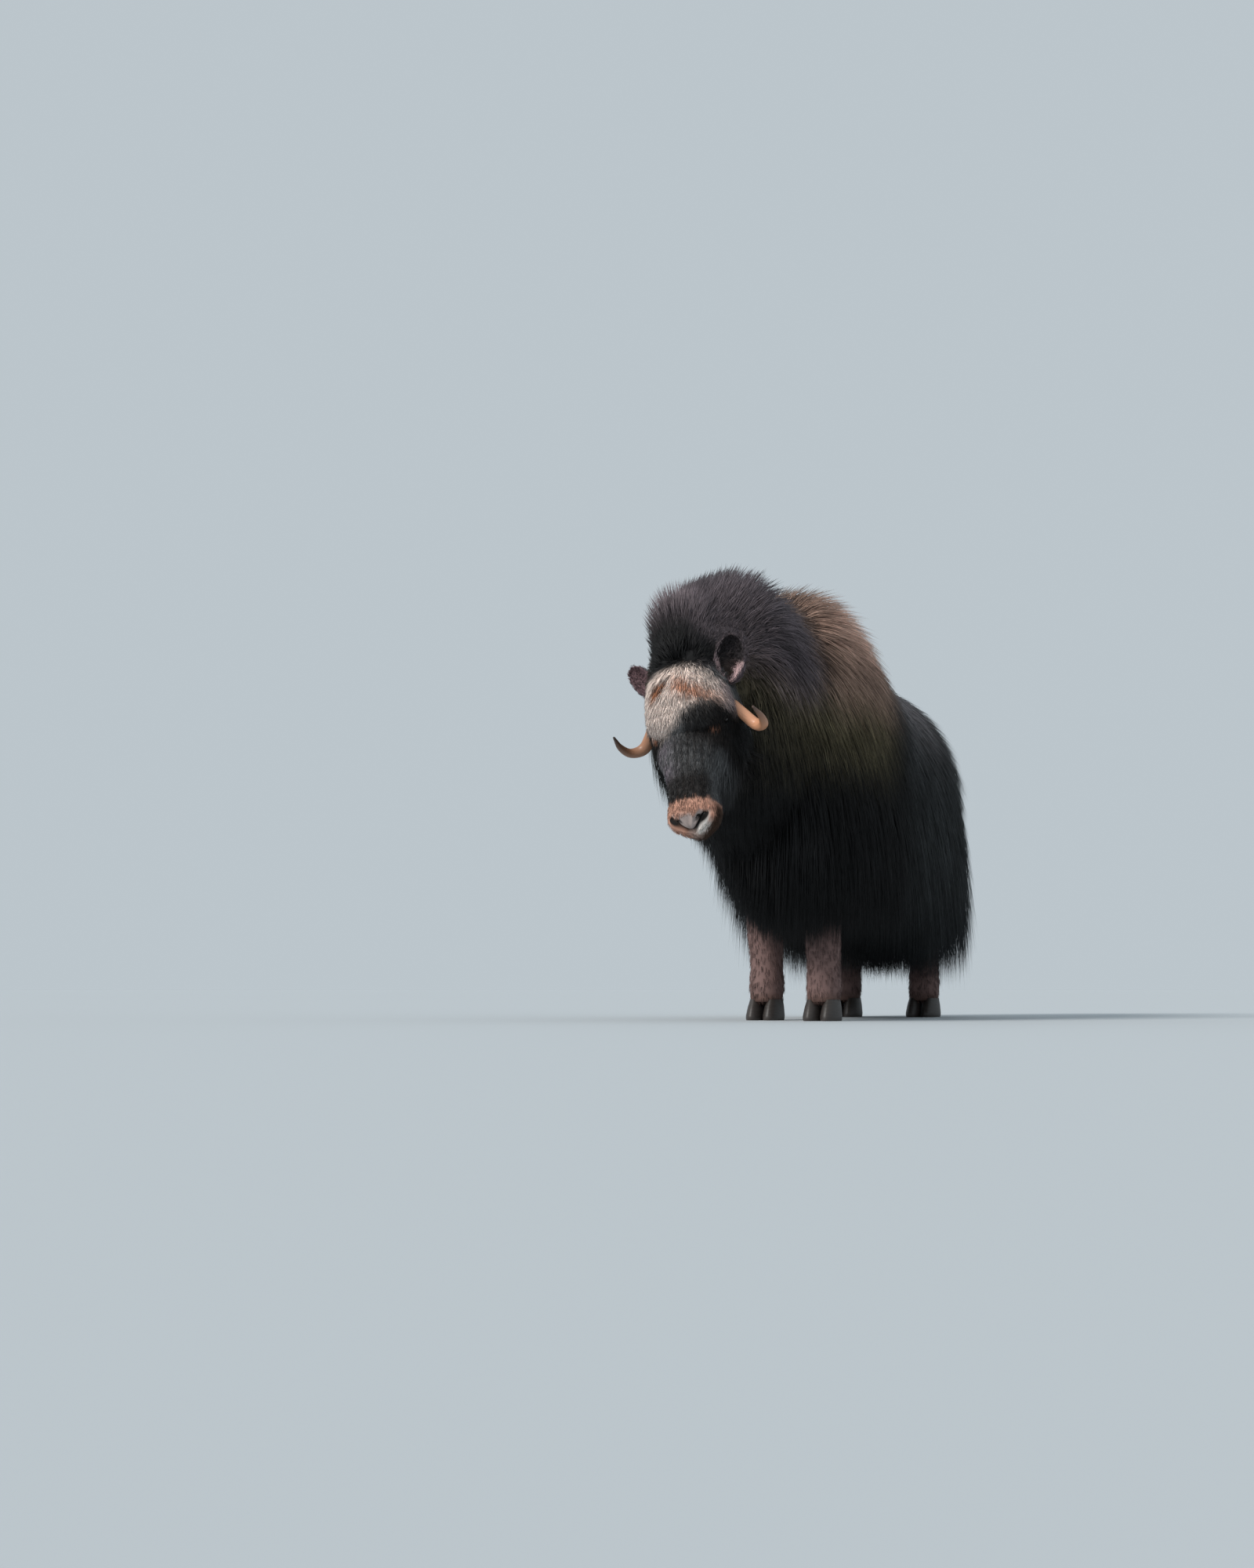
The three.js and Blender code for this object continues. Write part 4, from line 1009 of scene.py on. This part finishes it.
skin = plain_piece("skin", all_points, all_faces, hide)
skin_mesh = skin.data
skin_mesh.uv_layers.new(name="unwrap").data.foreach_set("uv", np.array(all_corners).ravel())
for name in ("lie", "rise", "reach", "droop", "wide", "stand"):
    values = np.concatenate([getattr(part, name) for part in skin_parts])
    scale = 0.001 if name in ("reach", "wide") else 1.0
    keep(skin_mesh, name, "FLOAT_VECTOR" if name == "lie" else "FLOAT", "POINT", values * scale)
tints = np.concatenate([part.tint for part in skin_parts])
keep(skin_mesh, "tint", "FLOAT_COLOR", "POINT", np.hstack([tints, np.ones((len(tints), 1))]))
keep(skin_mesh, "area", "FLOAT", "FACE", face_area)

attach(skin, "root")
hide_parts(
    "head", "neck", "torso", "chest", "rump_skirt", "skirt_left", "skirt_right", "tail", "ear_left",
    "ear_right", *["leg_" + name for name in LEGS],
)

# Coat: long guard hair over underwool, dark and coarse, rooted in the skin as tufts of a few hairs that
# leave it along its lie and bend down. The tree strews tufts over one area of the skin and bends each one.


def tuft_mesh(name, hairs, rings, half, seed, spread, gather):
    """Closed three-sided hairs side by side: across, outwards and, upwards, the share of their reach."""
    draw = np.random.default_rng(seed)
    vertices, faces, strands = [], [], []
    for _ in range(hairs):
        first = len(vertices)
        root = np.array([draw.uniform(-spread, spread), draw.uniform(-0.9, 0.9)])
        drift = draw.uniform(-1.5, 1.5, 2)
        tip = draw.uniform(0.82, 1.0)
        for u in rings:
            middle = root * (1 - gather * u) + drift * np.array([1.0, 0.5]) * u * u
            wide = half * (1 - 0.45 * u**1.5)
            for x, y in ((wide, 0.0), (0.0, wide * 0.8), (-wide, 0.0)):
                vertices.append((middle[0] + x, middle[1] + y, u * tip))
        end = root * (1 - gather) + drift * np.array([1.0, 0.5])
        vertices.append((end[0], end[1], tip))
        faces.append((first + 2, first + 1, first))
        for ring in range(len(rings) - 1):
            for side in range(3):
                a, b = first + ring * 3 + side, first + ring * 3 + (side + 1) % 3
                faces.append((a, b, b + 3, a + 3))
        last = first + (len(rings) - 1) * 3
        for side in range(3):
            faces.append((last + side, last + (side + 1) % 3, len(vertices) - 1))
        strands += [draw.uniform()] * (len(vertices) - first)
    mesh = bpy.data.meshes.new(name)
    mesh.from_pydata(vertices, [], faces)
    keep(mesh, "strand", "FLOAT", "POINT", strands)
    return bpy.data.objects.new(name, mesh)


def tuft_collection(name, count, **settings):
    collection = bpy.data.collections.new(name)
    bpy.context.scene.collection.children.link(collection)
    for number in range(count):
        collection.objects.link(tuft_mesh(f"{name}_{number}", seed=number, **settings))
    return collection


long_tufts = tuft_collection("long_tufts", 7, hairs=6, rings=(0.0, 0.5), half=0.13, spread=2.4, gather=-0.15)
short_tufts = tuft_collection("short_tufts", 7, hairs=5, rings=(0.0, 0.5), half=0.2, spread=2.0, gather=0.1)

coat_tree, coat_given = new_group(
    "grow_tufts", "GeometryNodeTree",
    {"Skin": "Geometry", "Tufts": "Collection", "Area": "Float", "Tufts per Square Metre": "Float",
     "Sway": "Float", "Seed": "Int", "Material": "Material"},
    {"Coat": "Geometry"},
)
VECTOR = "FLOAT_VECTOR"


def step(kind, **settings):
    return add_node(coat_tree, kind, **settings)


def field(name, kind="FLOAT"):
    return step("GeometryNodeInputNamedAttribute", data_type=kind, in_Name=name).outputs["Attribute"]


def vector_math(operation, *values, **settings):
    numbered = {f"in_{number}": value for number, value in enumerate(values)}
    made = step("ShaderNodeVectorMath", operation=operation, **numbered, **settings)
    return made.outputs["Value" if operation == "DOT_PRODUCT" else "Vector"]


def added(a, b):
    return vector_math("ADD", a, b)


def scaled(vector, share):
    return vector_math("SCALE", vector, in_Scale=share)


def normalized(vector):
    return vector_math("NORMALIZE", vector)


def number_math(operation, a, b):
    return step("ShaderNodeMath", operation=operation, in_0=a, in_1=b).outputs["Value"]


def random_value(low, high, offset, kind="FLOAT"):
    """A draw for each tuft, from the piece's seed and an offset of its own."""
    first = {"FLOAT_VECTOR": 0, "FLOAT": 2, "INT": 4}[kind]
    limits = {f"in_{first}": low, f"in_{first + 1}": high}
    seed = number_math("ADD", coat_given["Seed"], float(offset))
    return step("FunctionNodeRandomValue", data_type=kind, **limits, in_Seed=seed).outputs[first // 2]


def store(geometry, name, kind, value, domain="POINT"):
    made = step("GeometryNodeStoreNamedAttribute", data_type=kind, domain=domain, in_Name=name)
    coat_tree.links.new(geometry, made.inputs["Geometry"])
    coat_tree.links.new(value, made.inputs["Value"])
    return made.outputs["Geometry"]


# where each tuft stands, and the ways it leaves the skin and arrives at its tip
in_area = step(
    "FunctionNodeCompare", data_type="FLOAT", operation="EQUAL",
    in_0=field("area"), in_1=coat_given["Area"], in_Epsilon=0.25,
)
strewn = step(
    "GeometryNodeDistributePointsOnFaces", distribute_method="RANDOM",
    in_Mesh=coat_given["Skin"], in_Selection=in_area.outputs["Result"],
    in_Density=coat_given["Tufts per Square Metre"], in_Seed=coat_given["Seed"],
)
out = strewn.outputs["Normal"]
swayed = added(
    field("lie", VECTOR), scaled(random_value((-1, -1, -1), (1, 1, 1), 11, VECTOR), coat_given["Sway"])
)
off_skin = scaled(out, vector_math("DOT_PRODUCT", swayed, out))
lay = normalized(vector_math("SUBTRACT", swayed, off_skin))
rise = number_math("MULTIPLY", field("rise"), random_value(0.8, 1.16, 23))
leave = normalized(added(lay, scaled(out, rise)))
sag = scaled((0.0, 0.0, -1.0), field("droop"))
arrive = normalized(added(added(lay, sag), scaled(out, field("stand"))))
reach = number_math("MULTIPLY", field("reach"), random_value(0.88, 1.02, 37))
position = step("GeometryNodeInputPosition").outputs["Position"]
points = strewn.outputs["Points"]
for name, kind, value in (
    ("root", VECTOR, position),
    ("out", VECTOR, out),
    ("leave", VECTOR, leave),
    ("arrive", VECTOR, arrive),
    ("shade", "FLOAT", random_value(0.0, 1.0, 41)),
    ("reach", "FLOAT", reach),
):
    points = store(points, name, kind, value)
tuft_info = step(
    "GeometryNodeCollectionInfo", transform_space="ORIGINAL",
    in_Collection=coat_given["Tufts"], in_Separate_Children=True, in_Reset_Children=True,
)
placed = step(
    "GeometryNodeInstanceOnPoints", in_Points=points, in_Instance=tuft_info.outputs[0],
    in_Pick_Instance=True, in_Instance_Index=random_value(0, 6, 53, "INT"),
)
realized = step("GeometryNodeRealizeInstances", in_Geometry=placed.outputs["Instances"])

# each point of a tuft goes from its straight template to its place along the bend
local = step("ShaderNodeSeparateXYZ", in_0=vector_math("SUBTRACT", position, field("root", VECTOR))).outputs
share = local["Z"]
late = number_math("MULTIPLY", number_math("MULTIPLY", share, share), 0.5)
early = number_math("SUBTRACT", share, late)
leaving, arriving = field("leave", VECTOR), field("arrive", VECTOR)
path = scaled(added(scaled(leaving, early), scaled(arriving, late)), field("reach"))
still = number_math("SUBTRACT", 1.0, share)
heading_there = normalized(added(scaled(leaving, still), scaled(arriving, share)))
across = normalized(vector_math("CROSS_PRODUCT", heading_there, field("out", VECTOR)))
outward = vector_math("CROSS_PRODUCT", across, heading_there)
bent = added(field("root", VECTOR), path)
for way, amount in ((across, local["X"]), (outward, local["Y"])):
    bent = added(bent, scaled(way, number_math("MULTIPLY", amount, field("wide"))))
patch = step(
    "ShaderNodeCombineXYZ",
    in_X=number_math("MULTIPLY", local["X"], 0.0005),
    in_Y=number_math("MULTIPLY", number_math("SUBTRACT", share, 0.5), 0.003),
)
bake_place = added(field("unwrap", VECTOR), patch.outputs["Vector"])
coat = store(realized.outputs["Geometry"], "along", "FLOAT", share)
coat = store(coat, "OFBake", "FLOAT2", bake_place, "CORNER")
coat = step("GeometryNodeSetPosition", in_Geometry=coat, in_Position=bent).outputs["Geometry"]
for name in ("root", "leave", "arrive", "lie", "rise", "reach", "droop", "wide", "stand", "unwrap", "area"):
    coat = step("GeometryNodeRemoveAttribute", in_Geometry=coat, in_Name=name).outputs["Geometry"]
coat = step("GeometryNodeSetShadeSmooth", in_Geometry=coat).outputs["Geometry"]
coat = step("GeometryNodeSetMaterial", in_Geometry=coat, in_Material=coat_given["Material"])
step("NodeGroupOutput", in_Coat=coat.outputs["Geometry"])

# Hair in the skin's markings, with its own shade at each tuft and each hair. Its normal leans to the skin's
# under it, which keeps fine hair soft.
hair_look, given = new_group(
    "hair_look", "ShaderNodeTree",
    {"Root Shade": "Float", "Tip Shade": "Float", "Like the Skin": "Float"},
    {"Colour": "Color", "Normal": "Vector"},
)
place = add_node(hair_look, "ShaderNodeTexCoord").outputs["Object"]
drifts = add_node(hair_look, "ShaderNodeTexNoise", in_Vector=place, in_Scale=7.0, in_Detail=3.0)
factor = add_node(
    hair_look, "ShaderNodeMapRange", in_Value=drifts.outputs["Fac"], in_1=0.3, in_2=0.7, in_3=0.7, in_4=1.3
).outputs["Result"]
for attribute, low, high in (
    ("along", given["Root Shade"], given["Tip Shade"]),
    ("shade", 0.82, 1.2),
    ("strand", 0.45, 1.6),
):
    found = add_node(hair_look, "ShaderNodeAttribute", attribute_name=attribute).outputs["Fac"]
    ranged = add_node(hair_look, "ShaderNodeMapRange", in_Value=found, in_3=low, in_4=high).outputs["Result"]
    factor = add_node(hair_look, "ShaderNodeMath", operation="MULTIPLY", in_0=factor, in_1=ranged).outputs[0]
tint = add_node(hair_look, "ShaderNodeAttribute", attribute_name="tint").outputs["Color"]
leaning = add_node(
    hair_look, "ShaderNodeMix", data_type="VECTOR",
    in_Factor=given["Like the Skin"],
    in_4=add_node(hair_look, "ShaderNodeNewGeometry").outputs["Normal"],
    in_5=add_node(hair_look, "ShaderNodeAttribute", attribute_name="out").outputs["Vector"],
).outputs[1]
evened = add_node(hair_look, "ShaderNodeVectorMath", operation="NORMALIZE", in_0=leaning).outputs["Vector"]
add_node(
    hair_look, "NodeGroupOutput", in_Colour=multiplied(hair_look, tint, factor), in_Normal=evened
)


def hair_material(name, root_shade, tip_shade, like_skin):
    material, tree, shader = new_material(name)
    look = add_node(
        tree, "ShaderNodeGroup", node_tree=hair_look,
        in_Root_Shade=root_shade, in_Tip_Shade=tip_shade, in_Like_the_Skin=like_skin,
    )
    tree.links.new(look.outputs["Colour"], shader.inputs["Base Color"])
    tree.links.new(look.outputs["Normal"], shader.inputs["Normal"])
    shader.inputs["Roughness"].default_value = 0.55
    shader.inputs["Specular IOR Level"].default_value = 0.14
    return material


guard_hair = hair_material("guard_hair", 0.6, 1.4, 0.5)
short_hair = hair_material("short_hair", 0.8, 1.2, 0.55)
tree_inputs = {
    item.name: item.identifier for item in coat_tree.interface.items_tree if item.item_type == "SOCKET"
}


def grow(area, tufts, density, sway, seed, material):
    """One piece of coat, grown on its area of the skin and made a plain mesh."""
    carrier = bpy.data.objects.new("coat_" + area, skin_mesh)
    bpy.context.scene.collection.objects.link(carrier)
    modifier = carrier.modifiers.new("grow", "NODES")
    modifier.node_group = coat_tree
    for title, value in (
        ("Tufts", tufts),
        ("Area", float(AREA[area])),
        ("Tufts per Square Metre", float(density)),
        ("Sway", float(sway)),
        ("Seed", seed),
        ("Material", material),
    ):
        modifier[tree_inputs[title]] = value
    depsgraph = bpy.context.evaluated_depsgraph_get()
    mesh = bpy.data.meshes.new_from_object(carrier.evaluated_get(depsgraph), depsgraph=depsgraph)
    carrier.modifiers.remove(modifier)
    carrier.data = mesh
    mesh.name = carrier.name
    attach(carrier, "root")


BODY_TUFTS = {
    "hump_left": 5200, "hump_right": 4600, "flank_left": 4300, "flank_right": 4300, "neck_left": 6400,
    "neck_right": 6000, "skirt_left": 4300, "skirt_right": 4300, "chest": 6000, "rump": 4300,
}
for number, (area, density) in enumerate(BODY_TUFTS.items()):
    grow(area, long_tufts, density, 0.12, number, guard_hair)
grow("crown", long_tufts, 20000, 0.14, 20, guard_hair)
grow("cheeks", long_tufts, 13000, 0.16, 21, guard_hair)
grow("forehead", short_tufts, 36000, 0.34, 22, short_hair)
grow("face", short_tufts, 27000, 0.12, 23, short_hair)
grow("legs", short_tufts, 7500, 0.1, 24, short_hair)
grow("ears", short_tufts, 26000, 0.2, 25, short_hair)
for collection in (long_tufts, short_tufts):
    for template in list(collection.objects):
        bpy.data.objects.remove(template)
    bpy.data.collections.remove(collection)

# Horns: keratin over a bone core that grows from the skull. Their flat roots lie under the forehead hair,
# and they go down, out and up beside the eyes to a fine dark tip. Each is one loft along its bend, with
# growth rings in its surface.
# share of the length, then down, across and out on the head, half width and half thickness
HORN_ROWS = [
    (0.0, 60, 24, 50, 34, 17),
    (0.2, 76, 66, 34, 32, 18),
    (0.38, 104, 102, 4, 26, 17),
    (0.55, 142, 138, -26, 20, 16),
    (0.7, 182, 172, -42, 17, 16),
    (0.83, 198, 204, -22, 13, 13),
    (0.93, 192, 216, 18, 9, 9),
    (1.0, 178, 212, 62, 3, 3),
]
horn_sizes = smooth_rows(HORN_ROWS)


def horn_section(sign):
    def place(at):
        down, across, out, _, _ = horn_sizes(at).T
        return on_head(down, across * sign, out)

    def section(at):
        sizes = horn_sizes(at)
        heading = unit(place(np.minimum(at + 0.02, 1)) - place(np.maximum(at - 0.02, 0)))
        away = place(at) - on_head(sizes[:, 0], 0 * at, 0 * at)
        up = unit(away - heading * np.sum(away * heading, axis=1, keepdims=True))
        return place(at), np.cross(heading, up), up, sizes[:, 3], sizes[:, 4], sizes[:, 4], 1.0

    return section


horn_matter, tree, shader = new_material("horn_matter")
grain_place = add_node(tree, "ShaderNodeUVMap", uv_map="along_horn").outputs["UV"]
split = add_node(tree, "ShaderNodeSeparateXYZ", in_0=grain_place)
ramp = add_node(tree, "ShaderNodeValToRGB", in_Fac=split.outputs["X"])
stops = ramp.color_ramp.elements
stops[0].color = (0.20, 0.105, 0.065, 1)
stops[1].color = (0.045, 0.028, 0.022, 1)
stops.new(0.6).color = (0.46, 0.225, 0.13, 1)
stops.new(0.86).color = (0.33, 0.16, 0.09, 1)
# painted light: a share that makes one horn's colour paler as if lit and the other darker as if in shade
wear = add_node(tree, "ShaderNodeAttribute", attribute_name="wear").outputs["Fac"]
fibre_place = add_node(tree, "ShaderNodeMapping", in_Vector=grain_place, in_Scale=(6.0, 60.0, 1.0))
fibres = add_node(
    tree, "ShaderNodeGroup", node_tree=uneven_colour,
    in_Colour=multiplied(tree, ramp.outputs["Color"], wear), in_Place=fibre_place.outputs["Vector"],
    in_Scale=1.0, in_Detail=6.0, in_Darkest=0.66, in_Palest=1.34,
)
ridges = add_node(
    tree, "ShaderNodeBump", in_Height=fibres.outputs["Height"], in_Strength=0.4, in_Distance=0.001
)
tree.links.new(fibres.outputs["Colour"], shader.inputs["Base Color"])
tree.links.new(ridges.outputs["Normal"], shader.inputs["Normal"])
shader.inputs["Roughness"].default_value = 0.38

HORN_PAINTED_LIGHT = {"left": 1.6, "right": 0.85}  # painted light: the left horn is made paler as if lit, the right darker as if in shade
for side, sign in (("left", 1), ("right", -1)):
    stations = even(0.0, 1.0, 110)
    horn_points, horn_normals = loft(horn_section(sign), stations, rounded(36))
    rings_of_growth = 0.9 * np.sin(stations * 120) * smoothstep(stations, 0.62, 0.3)
    horn_points = horn_points + horn_normals * rings_of_growth[:, None, None]
    part = SkinPart("horn_" + side, horn_points, horn_normals, (0.0, 0.0, 1.0, 1.0))
    piece = plain_piece("horn_" + side + "_keratin", part.points, part.faces, horn_matter)
    corners = np.array([uv for corner in part.corners for uv in corner])
    piece.data.uv_layers.new(name="along_horn").data.foreach_set("uv", corners.ravel())
    keep(piece.data, "wear", "FLOAT", "POINT", np.full(len(part.points), HORN_PAINTED_LIGHT[side]))
    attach(piece, "root")
    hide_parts("horn_" + side)

# Eyes: glossy balls, nearly black, as the dark iris and its long pupil look from a few metres. In a model
# they are glass, and the lids hold them.
eye_glass, _, shader = new_material("eye_glass")
shader.inputs["Base Color"].default_value = (0.012, 0.007, 0.005, 1)
shader.inputs["Roughness"].default_value = 0.08
shader.inputs["Coat Weight"].default_value = 1.0
shader.inputs["Coat Roughness"].default_value = 0.03


def ball_section(sign):
    centre, axis, _ = eye_frame(sign)

    def section(at):
        radius = EYE_RADIUS * np.sqrt(np.maximum(1 - at**2, 0.0009))
        middle = centre + np.outer(at * EYE_RADIUS, axis)
        return middle, LEFT, np.cross(axis, LEFT), radius, radius, radius, 1.0

    return section


for side, sign in (("left", 1), ("right", -1)):
    ball_points, ball_normals = loft(ball_section(sign), -np.cos(even(0, math.pi, 32)), rounded(40))
    part = SkinPart("eye_" + side, ball_points, ball_normals, (0, 0, 1, 1))
    piece = plain_piece("eyeball_" + side, part.points, part.faces, eye_glass)
    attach(piece, "root")
    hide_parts("eye_" + side)

# Hooves: dark horn round the last bones of the foot, two broad toes with a cleft between them, flat
# underneath, and two small dew claws behind. They carry the legs, and each is a stack of rings.
hoof_matter, tree, shader = new_material("hoof_matter")
place = add_node(tree, "ShaderNodeTexCoord").outputs["Object"]
layer_place = add_node(tree, "ShaderNodeMapping", in_Vector=place, in_Scale=(30.0, 30.0, 220.0))
layers = add_node(
    tree, "ShaderNodeGroup", node_tree=uneven_colour,
    in_Colour=(0.035, 0.028, 0.025, 1), in_Place=layer_place.outputs["Vector"],
    in_Scale=1.0, in_Detail=4.0, in_Darkest=0.6, in_Palest=1.5,
)
edges = add_node(
    tree, "ShaderNodeBump", in_Height=layers.outputs["Height"], in_Strength=0.5, in_Distance=0.001
)
tree.links.new(layers.outputs["Colour"], shader.inputs["Base Color"])
tree.links.new(edges.outputs["Normal"], shader.inputs["Normal"])
shader.inputs["Roughness"].default_value = 0.5

# height, then size as a share of the toe's and shift to the front
HOOF_RINGS = [(0, 0.94, 12), (5, 0.99, 11.5), (14, 1.0, 10), (40, 0.88, 4), (54, 0.78, 0), (61.7, 0.72, -2)]
TOE_ASIDE = 26
TOE_HALF_WIDTH = 30
TOE_FRONT = 62.0
TOE_BACK = 49.6
CLEFT_SIDE = 23.5  # how far a toe reaches to the cleft
# share of the dew claw's height, then size as a share of its widest
CLAW_RINGS = [(0, 0.35), (0.15, 0.8), (0.4, 1.0), (0.75, 0.9), (1.0, 0.5)]


def toe_rings(x, y, sign):
    turn = rounded(32)
    long = np.cos(turn) * np.where(np.cos(turn) > 0, TOE_BACK, TOE_FRONT)
    rings = []
    for z, size, forward in HOOF_RINGS:
        wide = np.sin(turn) * TOE_HALF_WIDTH * size * (1 - 0.16 * np.maximum(0, -np.cos(turn)))
        wide = np.where(sign * wide < -CLEFT_SIDE, -CLEFT_SIDE * sign, wide)
        across, along = x + sign * TOE_ASIDE + wide, y - forward + long * size
        rings.append(np.stack([across, along, 0 * turn + z], axis=1))
    return np.array(rings)


def claw_rings(x, y, sign):
    turn = rounded(16)
    rings = []
    for high, size in CLAW_RINGS:
        across = x + sign * 24 + 12 * size * np.cos(turn)
        along = y + 54 + 15 * size * np.sin(turn) + 4 * high
        rings.append(np.stack([across, along, 0 * turn + 72 + 34 * high], axis=1))
    return np.array(rings)


for name, (x, y, rows) in LEGS.items():
    mesh_points, mesh_faces = [], []
    for sign in (-1, 1):
        for rings in (toe_rings(x, y, sign), claw_rings(x, y, sign)):
            part = SkinPart("toe", rings, ring_normals(rings, rings.mean(axis=1)), (0, 0, 1, 1))
            mesh_faces += [[len(mesh_points) + i for i in face] for face in part.faces]
            mesh_points += part.points.tolist()
    piece = plain_piece("horny_hoof_" + name, mesh_points, mesh_faces, hoof_matter)
    piece.data.set_sharp_from_angle(angle=math.radians(50))
    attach(piece, "root")
    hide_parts("hoof_" + name)

# Floor: plain and pale, wide enough for every view. It isn't part of the animal.
FLOOR_RADIUS = 60.0
FLOOR_SIDES = 96
rim_points = [(FLOOR_RADIUS * math.cos(t), FLOOR_RADIUS * math.sin(t), 0.0) for t in rounded(FLOOR_SIDES)]
floor_faces = [(0, i + 1, (i + 1) % FLOOR_SIDES + 1) for i in range(FLOOR_SIDES)]
floor_mesh = bpy.data.meshes.new("floor")
floor_mesh.from_pydata([(0.0, 0.0, 0.0), *rim_points], [], floor_faces)
floor = bpy.data.objects.new("floor", floor_mesh)
bpy.context.scene.collection.objects.link(floor)
floor_paint, _, shader = new_material("floor_paint")
shader.inputs["Base Color"].default_value = (0.52, 0.555, 0.58, 1)
shader.inputs["Roughness"].default_value = 1.0
shader.inputs["Specular IOR Level"].default_value = 0.1
floor_mesh.materials.append(floor_paint)

# Light: an even pale sky and one broad soft key from above, in front and the animal's right.
world = bpy.data.worlds.new("sky")
bpy.context.scene.world = world
world.use_nodes = True
world.node_tree.nodes["Background"].inputs["Color"].default_value = (0.50, 0.56, 0.60, 1)
world.node_tree.nodes["Background"].inputs["Strength"].default_value = 1.0
bpy.context.scene.view_settings.view_transform = "Standard"
key_data = bpy.data.lights.new("key", "SUN")
key_data.energy = 2.6
key_data.angle = math.radians(20)
key_data.color = (1.0, 0.97, 0.93)
key = bpy.data.objects.new("key", key_data)
bpy.context.scene.collection.objects.link(key)
key.rotation_euler = Vector((0.45, 0.80, -0.62)).to_track_quat("-Z", "Y").to_euler()
